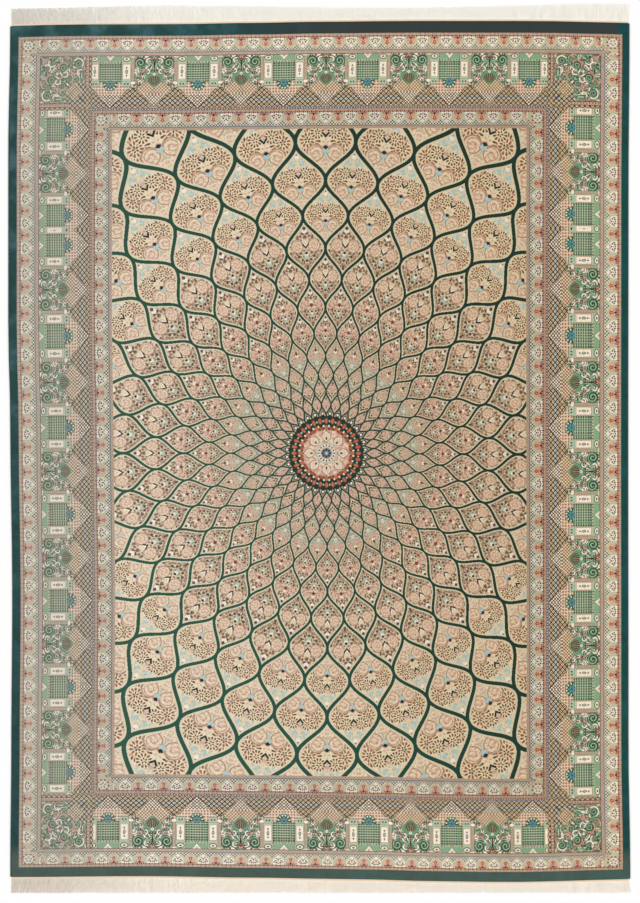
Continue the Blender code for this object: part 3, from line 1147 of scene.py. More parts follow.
def arcs(chart, place, rows):
    """Curled leaves: parts of circles with a dark rim. Start and share are in turns."""
    for x, y, radius, start, share, dye in rows:
        distance, turn = place.around(x, y)
        part = (turn - start).wrap()
        chart.knot(distance.near(radius, 0.0042) & (part < share), "ink")
        chart.knot(distance.near(radius, 0.0026) & (part < share - 0.03), dye)


def leaf_strokes(chart, x, y, rows):
    """Straight leaves: slanting ovals with a dark rim."""
    for along, inward, half_long, half_wide, lean, dye in rows:
        off_x, off_y = x - along, y - inward
        turned = Place(off_x.times_plus(math.cos(lean), off_y * math.sin(lean)),
                       off_y.times_plus(math.cos(lean), off_x * -math.sin(lean)))
        chart.knot(turned.oval(0.0, 0.0, half_long + 0.002, half_wide + 0.0018), "ink")
        chart.knot(turned.oval(0.0, 0.0, half_long, half_wide), dye)


def foliage(chart, place, where):
    """A green ground full of small curls, which follow the contour lines of smooth noise."""
    chart.knot(where, "leaf")
    bends, others = place.noise(50.0), place.noise(74.0, (0.9, 1.1))
    chart.flecks(place, 150.0, ((0.60, 1.0, "pistachio"), (0.0, 0.35, "moss")), where)
    chart.knot(where & others.near(0.46, 0.040), "moss")
    chart.knot(where & bends.near(0.50, 0.066), "ink")
    chart.knot(where & bends.near(0.50, 0.040) & (others > 0.46), "ivory")
    chart.knot(where & bends.near(0.50, 0.032) & (others < 0.42), "salmon")


def leaf_panel(chart, panel):
    """A green ground with a spiral, curled leaves and a ribbed palmette at its inner end.

    The panel is folded down its middle, so all that is off the middle shows twice.
    """
    x, depth = panel.x, panel.y
    ground = (x < 0.077) & (depth < (x - 0.034).most(0.0).times_plus(0.67, 0.108))
    foliage(chart, panel, ground)
    coil(chart, panel, 0.0545, 0.0275, 0.0195)
    arcs(chart, panel, (
        (0.022, 0.019, 0.0085, 0.05, 0.60, "ivory"), (0.027, 0.062, 0.0085, 0.50, 0.55, "ivory"),
        (0.056, 0.086, 0.0105, 0.60, 0.45, "blush"), (0.069, 0.064, 0.0085, 0.30, 0.55, "ivory"),
        (0.070, 0.099, 0.0075, 0.70, 0.50, "blush"), (0.055, 0.108, 0.007, 0.25, 0.55, "ivory")))
    leaf_strokes(chart, x, depth, (
        (0.040, 0.057, 0.015, 0.003, 0.85, "blush"), (0.030, 0.046, 0.011, 0.0026, 0.85, "ivory"),
        (0.064, 0.050, 0.0085, 0.0026, -0.60, "ivory"),
        (0.012, 0.048, 0.0085, 0.0024, 1.10, "ivory"),
        (0.056, 0.101, 0.0075, 0.003, 0.50, "ivory")))
    chart.stamp(panel, (
        ("ivory", "disc", 0.042, 0.084, 0.0052),
        ("maroon", "disc", 0.042, 0.086, 0.0034),
        ("ink", "oval", 0.0, 0.010, 0.011, 0.008),
        ("salmon", "oval", 0.0, 0.0095, 0.008, 0.0055),
        ("maroon", "oval", 0.0, 0.011, 0.004, 0.0036),
        ("ink", "oval", 0.0, 0.033, 0.004, 0.013),
        ("umber", "oval", 0.0, 0.056, 0.0034, 0.009)))
    heart = (x < (0.134 - depth) * 0.86) & (panel.distance(0.0105, 0.099) < 0.027)
    chart.knot(heart, "leaf")
    core = (x < (0.129 - depth) * 0.80) & (panel.distance(0.006, 0.0985) < 0.018)
    chart.knot(core, "ink")
    rows = panel.distance(0.0, 0.136).repeats(0.0068) < 0.26
    ribs = (x / (0.145 - depth) * 7.0).fold() < 0.17
    chart.knot(core & rows, "umber")
    chart.knot(core & ribs, "leaf")
    chart.knot(core & ribs & rows, "vine")
    chart.stamp(panel, (
        ("ivory", "diamond", 0.0, 0.074, 0.0075, 0.007),
        ("maroon", "disc", 0.0, 0.074, 0.0024)))


SCALE_PITCH, SCALE_ROW = 0.0206, 0.0182     # spacing of the ringed diamonds, along and inwards
SCALE_START = 0.1405                        # depth of the middle of one row of them
PLAID_PITCH, CHECK_PITCH = 0.0118, 0.0124
MOUNTAIN_SLOPE, MOUNTAIN_LINE = 1.08, 0.2065    # valley's edge: slope times aside, plus depth


def scales(chart, where, x, y, depth):
    """Ringed diamonds on a dark lattice, each row in its own dyes.

    Reach is 0 in the middle of a diamond, 1 on the lattice and 2 in the middle of a gap.
    """
    across = x.repeats(SCALE_PITCH) * 2.0
    reach = y.repeats(SCALE_ROW).times_plus(2.0, across)
    ground = Chart(chart.tree, chart.dyes, "umber")
    ground.knot(reach.near(1.0, 0.20), "ink")
    ground.steps(reach, (("cream", 0.68), ("gold", 0.46), ("rust", 0.22)))
    ground.knot(reach > 1.36, "cream")
    ground.knot(reach > 1.66, "rust")
    ground.steps(reach, (("mist", 0.68), ("slate", 0.24)), depth.between(0.1678, 0.186))
    ground.knot(reach < 0.46, "salmon", depth < 0.1314)
    chart.knot(where, ground)


def net(x, y, pitch):
    """How far a knot lies from either set of lines of a diamond net, as shares of the pitch."""
    return (x + y).repeats(pitch), (x - y).repeats(pitch)


def diaper(chart, from_leaf, depth):
    """The inner half of the border: net, plaid and checks in valleys between scale mountains."""
    from_window = PANEL_PITCH / 2 - from_leaf
    near_leaf = from_leaf < PANEL_PITCH / 4
    chart.knot(depth > 0.0, "vine")
    plus, minus = net(from_leaf, depth, 0.013)
    chart.knot(near_leaf & (plus > 0.22) & (minus > 0.22), "cream")
    chart.knot(near_leaf & (plus < 0.22) & (minus < 0.22), "umber")
    plaid_x, plaid_y = from_window.repeats(PLAID_PITCH), depth.repeats(PLAID_PITCH)
    chart.knot(~near_leaf, "tan")
    chart.knot(~near_leaf & ((plaid_x < 0.12) | (plaid_y < 0.12)), "peach")
    chart.knot(~near_leaf & (plaid_x > 0.24) & (plaid_y > 0.24), "vine")
    chart.knot(~near_leaf & (plaid_x > 0.34) & (plaid_y > 0.34), "maroon")
    checks = depth > 0.153
    chart.knot(checks, "umber")
    plus, minus = net(from_leaf, depth, CHECK_PITCH)
    chart.knot(checks & (plus > 0.19) & (minus > 0.19), "ivory")
    valley = from_leaf.least(from_window).times_plus(MOUNTAIN_SLOPE, depth)
    mountain = (valley > MOUNTAIN_LINE) & (depth > 0.116)
    scales(chart, mountain, from_leaf - 0.0823, depth - SCALE_START, depth)
    chart.knot(valley.near(MOUNTAIN_LINE, 0.0014) & (depth > 0.118), "umber")


def corner_panel(chart, square):
    """The corner square: curled leaves either side of the diagonal, a net and scales inwards."""
    low, high = square.x, square.y
    scales(chart, low > -1.0, low, high - SCALE_START, high)
    ground = (high < 0.184) & ((low + high < 0.260) | (low < 0.106))
    foliage(chart, square, ground)
    for x, y, radius in ((0.045, 0.095, 0.015), (0.090, 0.118, 0.013),
                         (0.028, 0.156, 0.015), (0.026, 0.048, 0.011)):
        coil(chart, square, x, y, radius)
    arcs(chart, square, (
        (0.024, 0.026, 0.013, 0.60, 0.50, "blush"), (0.026, 0.048, 0.015, 0.10, 0.55, "ivory"),
        (0.060, 0.066, 0.015, 0.30, 0.50, "ivory"), (0.045, 0.095, 0.020, 0.45, 0.50, "blush"),
        (0.045, 0.095, 0.020, 0.05, 0.25, "ivory"), (0.072, 0.102, 0.011, 0.80, 0.60, "ivory"),
        (0.016, 0.118, 0.010, 0.55, 0.50, "blush"), (0.028, 0.156, 0.019, 0.60, 0.55, "ivory"),
        (0.062, 0.138, 0.012, 0.20, 0.50, "blush"), (0.090, 0.118, 0.017, 0.75, 0.50, "blush"),
        (0.066, 0.164, 0.012, 0.40, 0.55, "ivory"), (0.048, 0.175, 0.007, 0.80, 0.55, "blush")))
    leaf_strokes(chart, low, high, (
        (0.070, 0.085, 0.011, 0.003, 0.50, "ivory"), (0.035, 0.072, 0.010, 0.0028, -0.60, "blush"),
        (0.056, 0.119, 0.010, 0.0028, 0.20, "ivory"), (0.044, 0.140, 0.009, 0.0026, 1.30, "ivory")))
    column = high.between(0.185, 0.201) & (low < 0.118)
    chart.knot(column, "umber")
    chart.knot(high.between(0.188, 0.198), "tan", column)
    chart.knot(column & (low.repeats(0.012) > 0.32) & high.between(0.1905, 0.1955), "maroon")
    diamond = (abs(low - 0.140) + abs(high - 0.140)) < 0.035
    chart.knot(diamond, "vine")
    plus, minus = net(low, high, CHECK_PITCH)
    chart.knot((plus < 0.11) | (minus < 0.11), "umber", diamond)
    chart.knot(diamond & (plus > 0.22) & (minus > 0.22), "cream")


COLUMN = 0.0872                     # middle of the thin columns, from the window's middle
BEADED_EDGE = 0.2072                # depth of the last, beaded strip


def main_group(sizes, dyes):
    """Colour of the main border from pitches along it and metres in from its outer edge."""
    tree, entry, leave = pattern_group("main_border")
    knots = round(PANEL_PITCH / sizes.knot)
    along, depth = snapped(tree, entry["Place"], 1 / knots, sizes.knot)
    first = (along - CORNER_MARK) * PANEL_PITCH
    square = Place(first.least(depth), first.most(depth)).held()
    panel = Place(along.fold() * PANEL_PITCH, depth).held()
    corner = along.held() > CORNER_MARK / 2
    from_leaf, depth = panel.x, panel.y
    from_window = PANEL_PITCH / 2 - from_leaf
    chart = Chart(tree, dyes, "leaf")
    diaper(chart, from_leaf, depth)
    leaf_panel(chart, panel)
    window_panel(chart, from_window, depth)
    column = abs(from_window - COLUMN)
    shaft = depth < 0.116
    chart.steps(column, (("umber", 0.0062), ("tan", 0.0046)), shaft)
    chart.knot((column < 0.0026) & shaft & (depth.repeats(0.0085) > 0.22), "reed")
    caps = depth.between(0.001, 0.0055) | depth.between(0.104, 0.113)
    chart.knot((column < 0.008) & caps, "ivory")
    block = Chart(tree, dyes, "leaf")
    corner_panel(block, square)
    chart.knot(corner, block)
    inner = corner.times_plus(square.x - depth, depth)
    chart.knot(inner.between(0.205, BEADED_EDGE), "slate")
    chart.knot(inner > BEADED_EDGE, "tan")
    beads = corner.times_plus(square.y - from_leaf, from_leaf).repeats(0.0105)
    chart.knot((inner > BEADED_EDGE) & (beads > 0.26), "umber")
    feed(tree, leave, {"Color": chart.last})
    return tree


# --------------------------------------------------------------------------------------------
# Silk: how the nap shades every dye, as sheen and shade painted into the colour

# Noises of painted sheen over the cloth that lighten the silk, each with the share that it adds
Sheen = namedtuple("Sheen", "scale stretch detail share")
STREAKS = Sheen(2.2, (1.6, 0.7), 3.0, 0.12)
WOVEN_ROWS = Sheen(5.0, (0.15, 14.0), 1.0, 0.05)
STIPPLE = Sheen(150.0, (1.0, 1.0), 0.0, 0.26)

# What varies, and its least: brightness and roughness with the knot, hue with a noise,
# saturation with the way to the right (painted shade of the nap), and a pale painted sheen
# with the way to the far left
KNOT_SPREAD, KNOT_LEAST = 0.12, 0.80
ROUGH_SPREAD, ROUGH_LEAST = 0.16, 0.56
HUE_SCALE, HUE_SPREAD, HUE_LEAST = 95.0, 0.060, 0.470
SATURATION_SPREAD, SATURATION_LEAST = 0.26, 0.85
SHEEN_HAZE_SPREAD, SHEEN_HAZE_LEAST = 0.20, 0.03
# Colour of the painted sheen that pales the far left
SHEEN_HAZE_COLOUR = (0.36, 0.35, 0.29, 1.0)
SLANT_START, SLANT_STOP = -1.3, 1.0         # where the way to the right begins and ends
FAR_LEFT, FAR_RIGHT = (0.70, 1.10), (0.35, 0.80)    # the same for the ends, out from the middle
# Painted shade at the far left and at the far right
LEFT_PAINTED_SHADE, RIGHT_PAINTED_SHADE = 0.10, 0.035

# How the nap shades each zone: brightness, painted shade that deepens the right side, and
# painted sheen that pales the left
Nap = namedtuple("Nap", "level fall haze")
NAPS = {
    "field": Nap(0.940, 0.17, 0.6), "inner_guard": Nap(0.81, 0.08, 1.0),
    "main_border": Nap(0.97, 0.05, 1.0), "outer_guard": Nap(0.92, 0.03, 1.0),
    "plain_band": Nap(0.95, 0.00, 0.0),
}


def silk_group(sizes):
    """Shading of clipped silk pile.

    Level scales the brightness, Fall is how much deeper the right side is than the left, and
    Haze how pale the far left is, because the nap lies to one side. Slow streaks, stipples and
    a small difference from knot to knot come on top. Height is one low dome for each knot.
    """
    tree, entry, leave = new_group(
        "silk_nap",
        [("Color", "colour"), ("Cloth", "vector"),
         ("Level", "value"), ("Fall", "value"), ("Haze", "value")],
        [("Color", "colour"), ("Roughness", "value"), ("Height", "value")])
    x, y = snapped(tree, entry["Cloth"], sizes.knot, sizes.knot)
    place = Place(x, y)
    grain = white_noise(place)
    level, shade_fall, painted_sheen = (Number(tree, entry[name]) for name in ("Level", "Fall", "Haze"))
    # Painted light of the nap: shade deepens to the right, and sheen and shade change at the far
    # ends
    side = (x + y * 0.12).smooth(SLANT_START, SLANT_STOP)
    far_left, far_right = (x * -1.0).smooth(*FAR_LEFT), x.smooth(*FAR_RIGHT)
    value = grain.times_plus(KNOT_SPREAD, KNOT_LEAST)
    for sheen in (STREAKS, WOVEN_ROWS, STIPPLE):
        value = value + place.noise(sheen.scale, sheen.stretch, sheen.detail) * sheen.share
    # Painted shade: the right side deeper, and both far sides darker
    value = value * level - side * shade_fall
    value = value - far_left * painted_sheen * LEFT_PAINTED_SHADE - far_right * painted_sheen * RIGHT_PAINTED_SHADE
    tint = add_node(tree, "ShaderNodeHueSaturation", {
        "Color": entry["Color"], "Value": value,
        "Hue": place.noise(HUE_SCALE).times_plus(HUE_SPREAD, HUE_LEAST),
        "Saturation": side.times_plus(SATURATION_SPREAD, SATURATION_LEAST)})
    split = add_node(tree, "ShaderNodeSeparateXYZ", {0: entry["Cloth"]}).outputs
    domes = [(Number(tree, split[i]) * (math.pi / sizes.knot)).sine() for i in (0, 1)]
    # Painted sheen: a pale haze over the far left
    sheen_paleness = far_left.times_plus(SHEEN_HAZE_SPREAD, SHEEN_HAZE_LEAST) * painted_sheen
    feed(tree, leave, {
        "Color": mix(tree, sheen_paleness, tint.outputs[0], SHEEN_HAZE_COLOUR),
        "Roughness": grain.times_plus(ROUGH_SPREAD, ROUGH_LEAST),
        "Height": abs(domes[0] * domes[1])})
    return tree


# Heights and places on the rug between which the plain band's shades come and go
TOP_BAND, BOTTOM_BAND = (1.640, 1.655), (1.60, 1.66)
SOOT_BEGINS, SOOT_ENDS = (-0.55, 0.05), (1.19, 1.21)


def plain_group(sizes, dyes):
    """Colour of the plain outer band: one dye with slow teal and dark clouds."""
    tree, entry, leave = pattern_group("plain_band")
    x, y = snapped(tree, entry["Place"], sizes.knot, sizes.knot)
    place = Place(x, y)
    chart = Chart(tree, dyes, "teal")
    # Painted sheen: pale teal clouds, a little everywhere and most towards the top left
    sheen_clouds = place.noise(9.0, detail=2.0).smooth(0.42, 0.72)
    left_top = (y * 0.6 - x).smooth(0.4, 2.2)
    chart.knot(sheen_clouds * left_top.times_plus(0.20, 0.06), "azure")
    chart.knot(place.noise(24.0, detail=1.0).smooth(0.48, 0.66) * 0.30, "forest")
    chart.knot((y * -1.0).smooth(*BOTTOM_BAND) * 0.16, "reed")
    dark_stretch = x.smooth(*SOOT_BEGINS) * (1.0 - x.smooth(*SOOT_ENDS))
    chart.knot(y.smooth(*TOP_BAND) * dark_stretch * 0.85, "soot")
    feed(tree, leave, {"Color": chart.last})
    return tree


def new_material(name, **inputs):
    """A material with nodes. Returns it, its tree and its shader with these inputs set."""
    MADE.clear()
    made = bpy.data.materials.new(name)
    made.use_nodes = True
    tree = made.node_tree
    shader = tree.nodes["Principled BSDF"]
    feed(tree, shader, {slot.replace("_", " "): value for slot, value in inputs.items()})
    return made, tree, shader


PILE_BUMP, YARN_BUMP = (0.25, 0.0004), (0.3, 0.0003)       # strength and distance


def bump_from(tree, height, strength, distance):
    """The normal of a surface raised by a height, as a socket."""
    inputs = {"Strength": strength, "Distance": distance, "Height": height}
    return add_node(tree, "ShaderNodeBump", inputs).outputs[0]


def map_places(tree, name):
    """The places of one of the piece's own maps, as a socket."""
    return add_node(tree, "ShaderNodeUVMap", uv_map=name).outputs[0]


def pile_material(name, pattern, silk, map_name):
    """Silk pile dyed by a pattern group that reads one of the piece's own maps."""
    made, tree, shader = new_material(
        "silk_" + name, Sheen_Weight=0.04, Sheen_Roughness=0.35, Specular_IOR_Level=0.18)
    chart = add_node(tree, "ShaderNodeGroup", node_tree=pattern)
    feed(tree, chart, {"Place": map_places(tree, map_name)})
    nap = add_node(tree, "ShaderNodeGroup", node_tree=silk)
    feed(tree, nap, {"Color": chart.outputs["Color"], "Cloth": map_places(tree, "Cloth")})
    # The nap's brightness, its painted shade to the right and its painted sheen at the left
    feed(tree, nap, zip(("Level", "Fall", "Haze"), NAPS[name]))
    feed(tree, shader, {
        "Base Color": nap.outputs["Color"], "Roughness": nap.outputs["Roughness"],
        "Normal": bump_from(tree, nap.outputs["Height"], *PILE_BUMP)})
    return made


DULL_LEFT, DULL_MOST = (0.55, 1.30), 0.80      # where the fringe grows dull, and how far


def yarn_material(name, shade, other, scale, roughness, dull=None):
    """Plain yarn with a fine fibre grain along it. Dull is its shade at the rug's left end."""
    made, tree, shader = new_material(name, Roughness=roughness, Sheen_Weight=0.2)
    place = tree.nodes.new("ShaderNodeTexCoord").outputs["Object"]
    stretched = add_node(tree, "ShaderNodeMapping", {"Vector": place, "Scale": scale})
    fibre = add_node(tree, "ShaderNodeTexNoise", {
        "Vector": stretched.outputs[0], "Scale": 1.0, "Detail": 3.0}).outputs[0]
    colour = mix(tree, fibre, (*shade, 1.0), (*other, 1.0))
    if dull:
        split = add_node(tree, "ShaderNodeSeparateXYZ", {0: place})
        # Greyer towards the rug's left end
        greyer_leftwards = (Number(tree, split.outputs[0]) * -1.0).smooth(*DULL_LEFT) * DULL_MOST
        colour = mix(tree, greyer_leftwards, colour, (*dull, 1.0))
    feed(tree, shader, {"Base Color": colour, "Normal": bump_from(tree, fibre, *YARN_BUMP)})
    return made


# Insets from the rug's edge where the zones' lines and bands show through on the back
BACK_BORDER, BACK_FIELD, BACK_BAND = (0.12, 0.335), 0.415, 0.036
BACK_LINE = 0.004


def back_material(sizes, dyes):
    """The woven back: rows of knot loops, with the zones showing through as plain bands."""
    made, tree, shader = new_material("weave_back", Roughness=0.75)
    x, y = snapped(tree, map_places(tree, "Cloth"), sizes.knot, sizes.knot)
    grain = white_noise(Place(x, y))
    left, right, bottom, top = DESIGN_BOX
    inset = ((right - left) / 2 - abs(x)).least((top - bottom) / 2 - abs(y - (top + bottom) / 2))
    chart = Chart(tree, dyes, "stone")
    chart.knot(grain > 0.62, "tan")
    chart.knot(grain > 0.84, "leaf")
    chart.knot(inset.between(*BACK_BORDER) & (grain > 0.35), "leaf")
    outer, inner, last = (inset.near(line, BACK_LINE) for line in (*BACK_BORDER, BACK_FIELD))
    chart.knot(inner | outer | last, "plum")
    chart.knot(inset < BACK_BAND, "teal")
    feed(tree, shader, {"Base Color": chart.last})
    return made


# --------------------------------------------------------------------------------------------
# The pieces


def fit(made, finish, node):
    """Gives a finished piece its material, and puts it on the rug's body in place of a node."""
    made.data.materials.append(finish)
    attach(made, next(iter(frame["bodies"])))
    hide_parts(node)


def grid(sizes):
    """Grid lines of the whole cloth and the middles of its cells."""
    columns, rows = design_lines(0, sizes.mesh_step), design_lines(1, sizes.mesh_step)
    middle_x, middle_y = (columns[:-1] + columns[1:]) / 2, (rows[:-1] + rows[1:]) / 2
    return columns, rows, *np.meshgrid(middle_x, middle_y, indexing="ij")


def inside(x, y, box):
    """Which cells lie in a design rectangle."""
    return (x > box[0]) & (x < box[1]) & (y > box[2]) & (y < box[3])


def pile(name, sizes, columns, rows, kept):
    """A slab of pile over the kept cells, just clear of the weave, with the map of its knots."""
    made, design, middle = slab(
        "pile_" + name, columns, rows, kept, sizes.weave_thickness + LAID_LOW,
        lambda x, y: rise(x, y, sizes), laid)
    add_map(made, "Cloth", design)
    return made, design, middle


def silk(sizes):
    """The shared nap group, made once."""
    return bpy.data.node_groups.get("silk_nap") or silk_group(sizes)


class OBJECT_OT_rug_field(bpy.types.Operator):
    """Make the pile of the field: the dome lattice round its rosette."""

    bl_idname = "rug.field"
    bl_label = "Field"

    def execute(self, context):
        """Lay the slab and dye it."""
        scene = context.scene
        sizes = scene.rug_sizes
        columns, rows, x, y = grid(sizes)
        made, design, _ = pile("field", sizes, columns, rows, inside(x, y, FIELD))
        centre = np.array([FIELD_MIDDLE[0] + DOME_CENTRE[0], FIELD_MIDDLE[1] + DOME_CENTRE[1]])
        add_map(made, "Dome", design - centre)
        add_map(made, "OFBake", field_bake_places(design, FIELD))
        dome = field_group(sizes, scene.rug_dyes)
        fit(made, pile_material("field", dome, silk(sizes), "Dome"), "carpet")
        return {"FINISHED"}


# Repeats of the guards' shields: along the bottom end, along the top end and up a side
OUTER_GUARD_REPEATS = ((22.95, 23.08), 30.9)
INNER_GUARD_REPEATS = ((16.84, 16.87), 25.3)


class OBJECT_OT_rug_borders(bpy.types.Operator):
    """Make the pile of the plain band, the two guard borders and the main border."""

    bl_idname = "rug.borders"
    bl_label = "Borders"

    def execute(self, context):
        """Lay each border's slab between two design rectangles and dye it."""
        scene = context.scene
        sizes, dyes = scene.rug_sizes, scene.rug_dyes
        columns, rows, x, y = grid(sizes)
        guard = guard_group(sizes, dyes)
        patterns = {
            "plain_band": (plain_group(sizes, dyes), "Cloth", (1, 1), 1),
            "outer_guard": (guard, "Band", *OUTER_GUARD_REPEATS),
            "main_border": (main_group(sizes, dyes), "Band", END_PITCHES, SIDE_PITCHES),
            "inner_guard": (guard, "Band", *INNER_GUARD_REPEATS),
        }
        for zone, outer, inner in zip(ZONES, BOXES, BOXES[1:]):
            pattern, map_name, end_repeats, side_repeats = patterns[zone.name]
            kept = inside(x, y, outer) & ~inside(x, y, inner)
            made, design, middle = pile(zone.name, sizes, columns, rows, kept)
            add_map(made, "Band", band_places(
                design, middle, zone, outer, inner, end_repeats, side_repeats,
                PANEL_PITCH if zone.name == "main_border" else GUARD_PITCH))
            add_map(made, "OFBake", border_bake_places(design, middle, outer, inner))
            finish = pile_material(zone.name, pattern, silk(sizes), map_name)
            fit(made, finish, "carpet")
        return {"FINISHED"}


class OBJECT_OT_rug_weave(bpy.types.Operator):
    """Make the woven foundation that carries the pile and shows on the back."""

    bl_idname = "rug.weave"
    bl_label = "Woven back"

    def execute(self, context):
        """Lay a thin sheet under the whole cloth and dye it like a faint print of the pile."""
        scene = context.scene
        sizes = scene.rug_sizes
        columns, rows = (design_lines(axis, 3 * sizes.mesh_step) for axis in (0, 1))
        kept = np.ones((len(columns) - 1, len(rows) - 1), bool)
        made, design, _ = slab(
            "ground_weave", columns, rows, kept, 0.0,
            lambda x, y: np.full_like(x, sizes.weave_thickness), laid)
        add_map(made, "Cloth", design)
        add_map(made, "OFBake", field_bake_places(design, BOXES[0]))
        fit(made, back_material(sizes, scene.rug_dyes), "carpet")
        return {"FINISHED"}


CORD_SIDES = 8
CORD_CAP = ((0, 1, 2, 3), (0, 3, 4, 7), (4, 5, 6, 7))       # quads that close an end
CORD_VALLEY = 0.84              # radius between two turns of yarn, as a share of the whole
CORD_END = 0.6                  # share of the radius that the last ring keeps
CORD_INSET = 0.001


def cord_mesh(name, low, high, side, wrap):
    """A round section carried up an edge, whose radius swells with the sine of each yarn turn."""
    radius = (high[2] - low[2]) / 2
    sign = -1 if side == "left" else 1
    y = np.arange(low[1] + CORD_INSET, high[1] - CORD_INSET, wrap / 4)
    x = np.interp(y, EDGES[side][:, 0], EDGES[side][:, 1] + sign * (CORD_SPACE - radius))
    angle = np.arange(CORD_SIDES) / CORD_SIDES * TAU
    ridge = np.abs(np.sin(math.pi * y[:, None] / wrap + angle / 2))
    reach = radius * (CORD_VALLEY + (1 - CORD_VALLEY) * ridge)
    reach[[0, -1]] *= CORD_END
    rings = np.stack([
        x[:, None] + reach * np.cos(angle), np.repeat(y[:, None], CORD_SIDES, 1),
        radius + reach * np.sin(angle)], -1)
    ids = np.arange(len(y) * CORD_SIDES).reshape(-1, CORD_SIDES)
    turned = np.roll(ids, -1, 1)
    skin = np.stack([ids[:-1], ids[1:], turned[1:], turned[:-1]], -1).reshape(-1, 4)
    cap = np.array(CORD_CAP)
    faces = np.concatenate([skin, ids[0][cap], ids[-1][cap][:, ::-1]])
    return new_mesh(name, rings.reshape(-1, 3), faces)


class OBJECT_OT_rug_side_cords(bpy.types.Operator):
    """Make the side cords, overcast with yarn along both long edges."""

    bl_idname = "rug.side_cords"
    bl_label = "Side cords"

    def execute(self, context):
        """Sweep a cord up each edge and dye it."""
        finish = yarn_material(
            "selvedge_silk", shown(24, 52, 48), shown(52, 88, 78), (60.0, 420.0, 60.0), 0.55)
        for side in ("left", "right"):
            node = "selvedge_" + side
            made = cord_mesh("cord_" + side, *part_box(node), side, context.scene.rug_sizes.wrap)
            fit(made, finish, node)
        return {"FINISHED"}


# End strips
STRIP_COLUMNS = 700
STRIP_ROWS = (0.0003, 0.0012, 0.0032, 0.0052, 0.0068)       # distances out from the cloth's end
STRIP_INSET = 0.003
STRIP_EDGE, STRIP_CROWN, STRIP_SPAN = 0.0016, 0.0010, 0.0071
RIB_PITCH, RIB_RISE = 0.0106, 0.0003

# Fringe strands, in sections from root to tip
TIP_STEP = 0.044                # pitch at which the trimmed line is read from the locks' tips
SECTION_SHARES = (0.0, 0.3, 0.65, 1.0)
SECTION_WIDTHS = (0.62, 0.66, 0.62, 0.40)                   # shares of the strand's thickness
SECTION_LIFTS = (0.0010, 0.0014, 0.0011, 0.0004)            # how far the top layer lies higher
STRAND_CORNERS = (30, 150, 270)                             # degrees round a strand
STRAND_FLAT = 0.45              # height of a strand as a share of its width
STRAND_CREASE = 0.6
STRAND_ROOT = 0.0060            # roots stand this far out from the cloth's end
ROOT_JITTER, LEAN_JITTER, BEND_JITTER, TIP_SHORTFALL = 0.0004, 0.0016, 0.0007, 0.0012
LEAN_WAVES = ((0.0030, 9.0), (0.0010, 143.0))               # sways along the row: size and rate
OUTWARD_LEAN = (-0.003, -0.012, -0.006, 0.002, 0.012)       # at the five places in lean_places


def lean_places(low, high):
    """Where along the fringe its outward lean is given."""
    return [low, low + 0.12, low + 0.7, high - 0.3, high]


def tip_line(node, sign):
    """The trimmed ends of a fringe node's locks: columns along and across."""
    points = node_points(node)
    bins = np.round(points[:, 0] / TIP_STEP).astype(int)
    return np.array([(points[bins == i, 0].mean(), sign * (points[bins == i, 1] * sign).max())
                     for i in np.unique(bins)])


def end_strip(side, sign, low, high):
    """A flat strip along an end: its crown is half a sine across, its ribs are sines along it."""
    edge = EDGES[side]
    columns = np.linspace(low[0] + STRIP_INSET, high[0] - STRIP_INSET, STRIP_COLUMNS)

    def place(x, out):
        return x, np.interp(x, edge[:, 0], edge[:, 1]) + sign * out

    def ribs(x, out):
        crown = np.sin(math.pi * np.clip(out / STRIP_SPAN, 0, 1))
        return STRIP_EDGE + STRIP_CROWN * crown + RIB_RISE * np.sin(x * TAU / RIB_PITCH)

    kept = np.ones((len(columns) - 1, len(STRIP_ROWS) - 1), bool)
    strip, _, _ = slab("strip_" + side, columns, np.array(STRIP_ROWS), kept, 0.0, ribs, place)
    if sign < 0:
        strip.data.flip_normals()
    return strip


def strand_mesh(side, sign, low, high, tips, count, width):
    """A row of thin strands: each a triangle carried from its root along a leaning, bent line."""
    edge = EDGES[side]
    rng = np.random.default_rng(7 if sign > 0 else 8)
    root_x = np.linspace(low[0] + 0.001, high[0] - 0.001, count)
    root_x += rng.uniform(-ROOT_JITTER, ROOT_JITTER, count)
    (slow, slow_rate), (quick, quick_rate) = LEAN_WAVES
    lean = np.interp(root_x, lean_places(low[0], high[0]), OUTWARD_LEAN)
    lean = lean + slow * np.sin(root_x * slow_rate) + rng.normal(0, LEAN_JITTER, count)
    lean += quick * np.sin(root_x * quick_rate)
    tip_x = np.clip(root_x + lean, low[0] - 0.005, high[0] + 0.009)
    root_y = np.interp(root_x, edge[:, 0], edge[:, 1]) + sign * STRAND_ROOT
    tip_y = np.interp(tip_x, tips[:, 0], tips[:, 1])
    tip_y = tip_y - sign * rng.exponential(TIP_SHORTFALL, count)
    layer = rng.uniform(0.0, 1.0, count)
    shares = np.array(SECTION_SHARES)
    bend = rng.normal(0, BEND_JITTER, (count, len(shares)))
    bend[:, 0] = 0
    centre_x = root_x[:, None] + (tip_x - root_x)[:, None] * shares ** 1.4 + bend
    centre_y = root_y[:, None] + (tip_y - root_y)[:, None] * shares
    thick = width * np.array(SECTION_WIDTHS)
    centre_z = thick * 0.75 + layer[:, None] * np.array(SECTION_LIFTS)
    angle = np.array(STRAND_CORNERS) / 360 * TAU
    rings = np.stack([
        centre_x[..., None] + thick[:, None] * np.cos(angle),
        np.repeat(centre_y[..., None], 3, -1),
        centre_z[..., None] + STRAND_FLAT * thick[:, None] * np.sin(angle)], -1)
    ids = np.arange(count * 12).reshape(count, 4, 3)
    turned = np.roll(ids, -1, 2)
    skin = np.stack([ids[:, :-1], turned[:, :-1], turned[:, 1:], ids[:, 1:]], -1).reshape(-1, 4)
    if sign > 0:
        skin = skin[:, ::-1]
    caps = [ids[:, 0], ids[:, -1, ::-1]] if sign > 0 else [ids[:, 0, ::-1], ids[:, -1]]
    faces = np.concatenate([skin[:, [0, 1, 2]], skin[:, [0, 2, 3]], *caps])
    return new_mesh("strands_" + side, rings.reshape(-1, 3), faces, STRAND_CREASE)


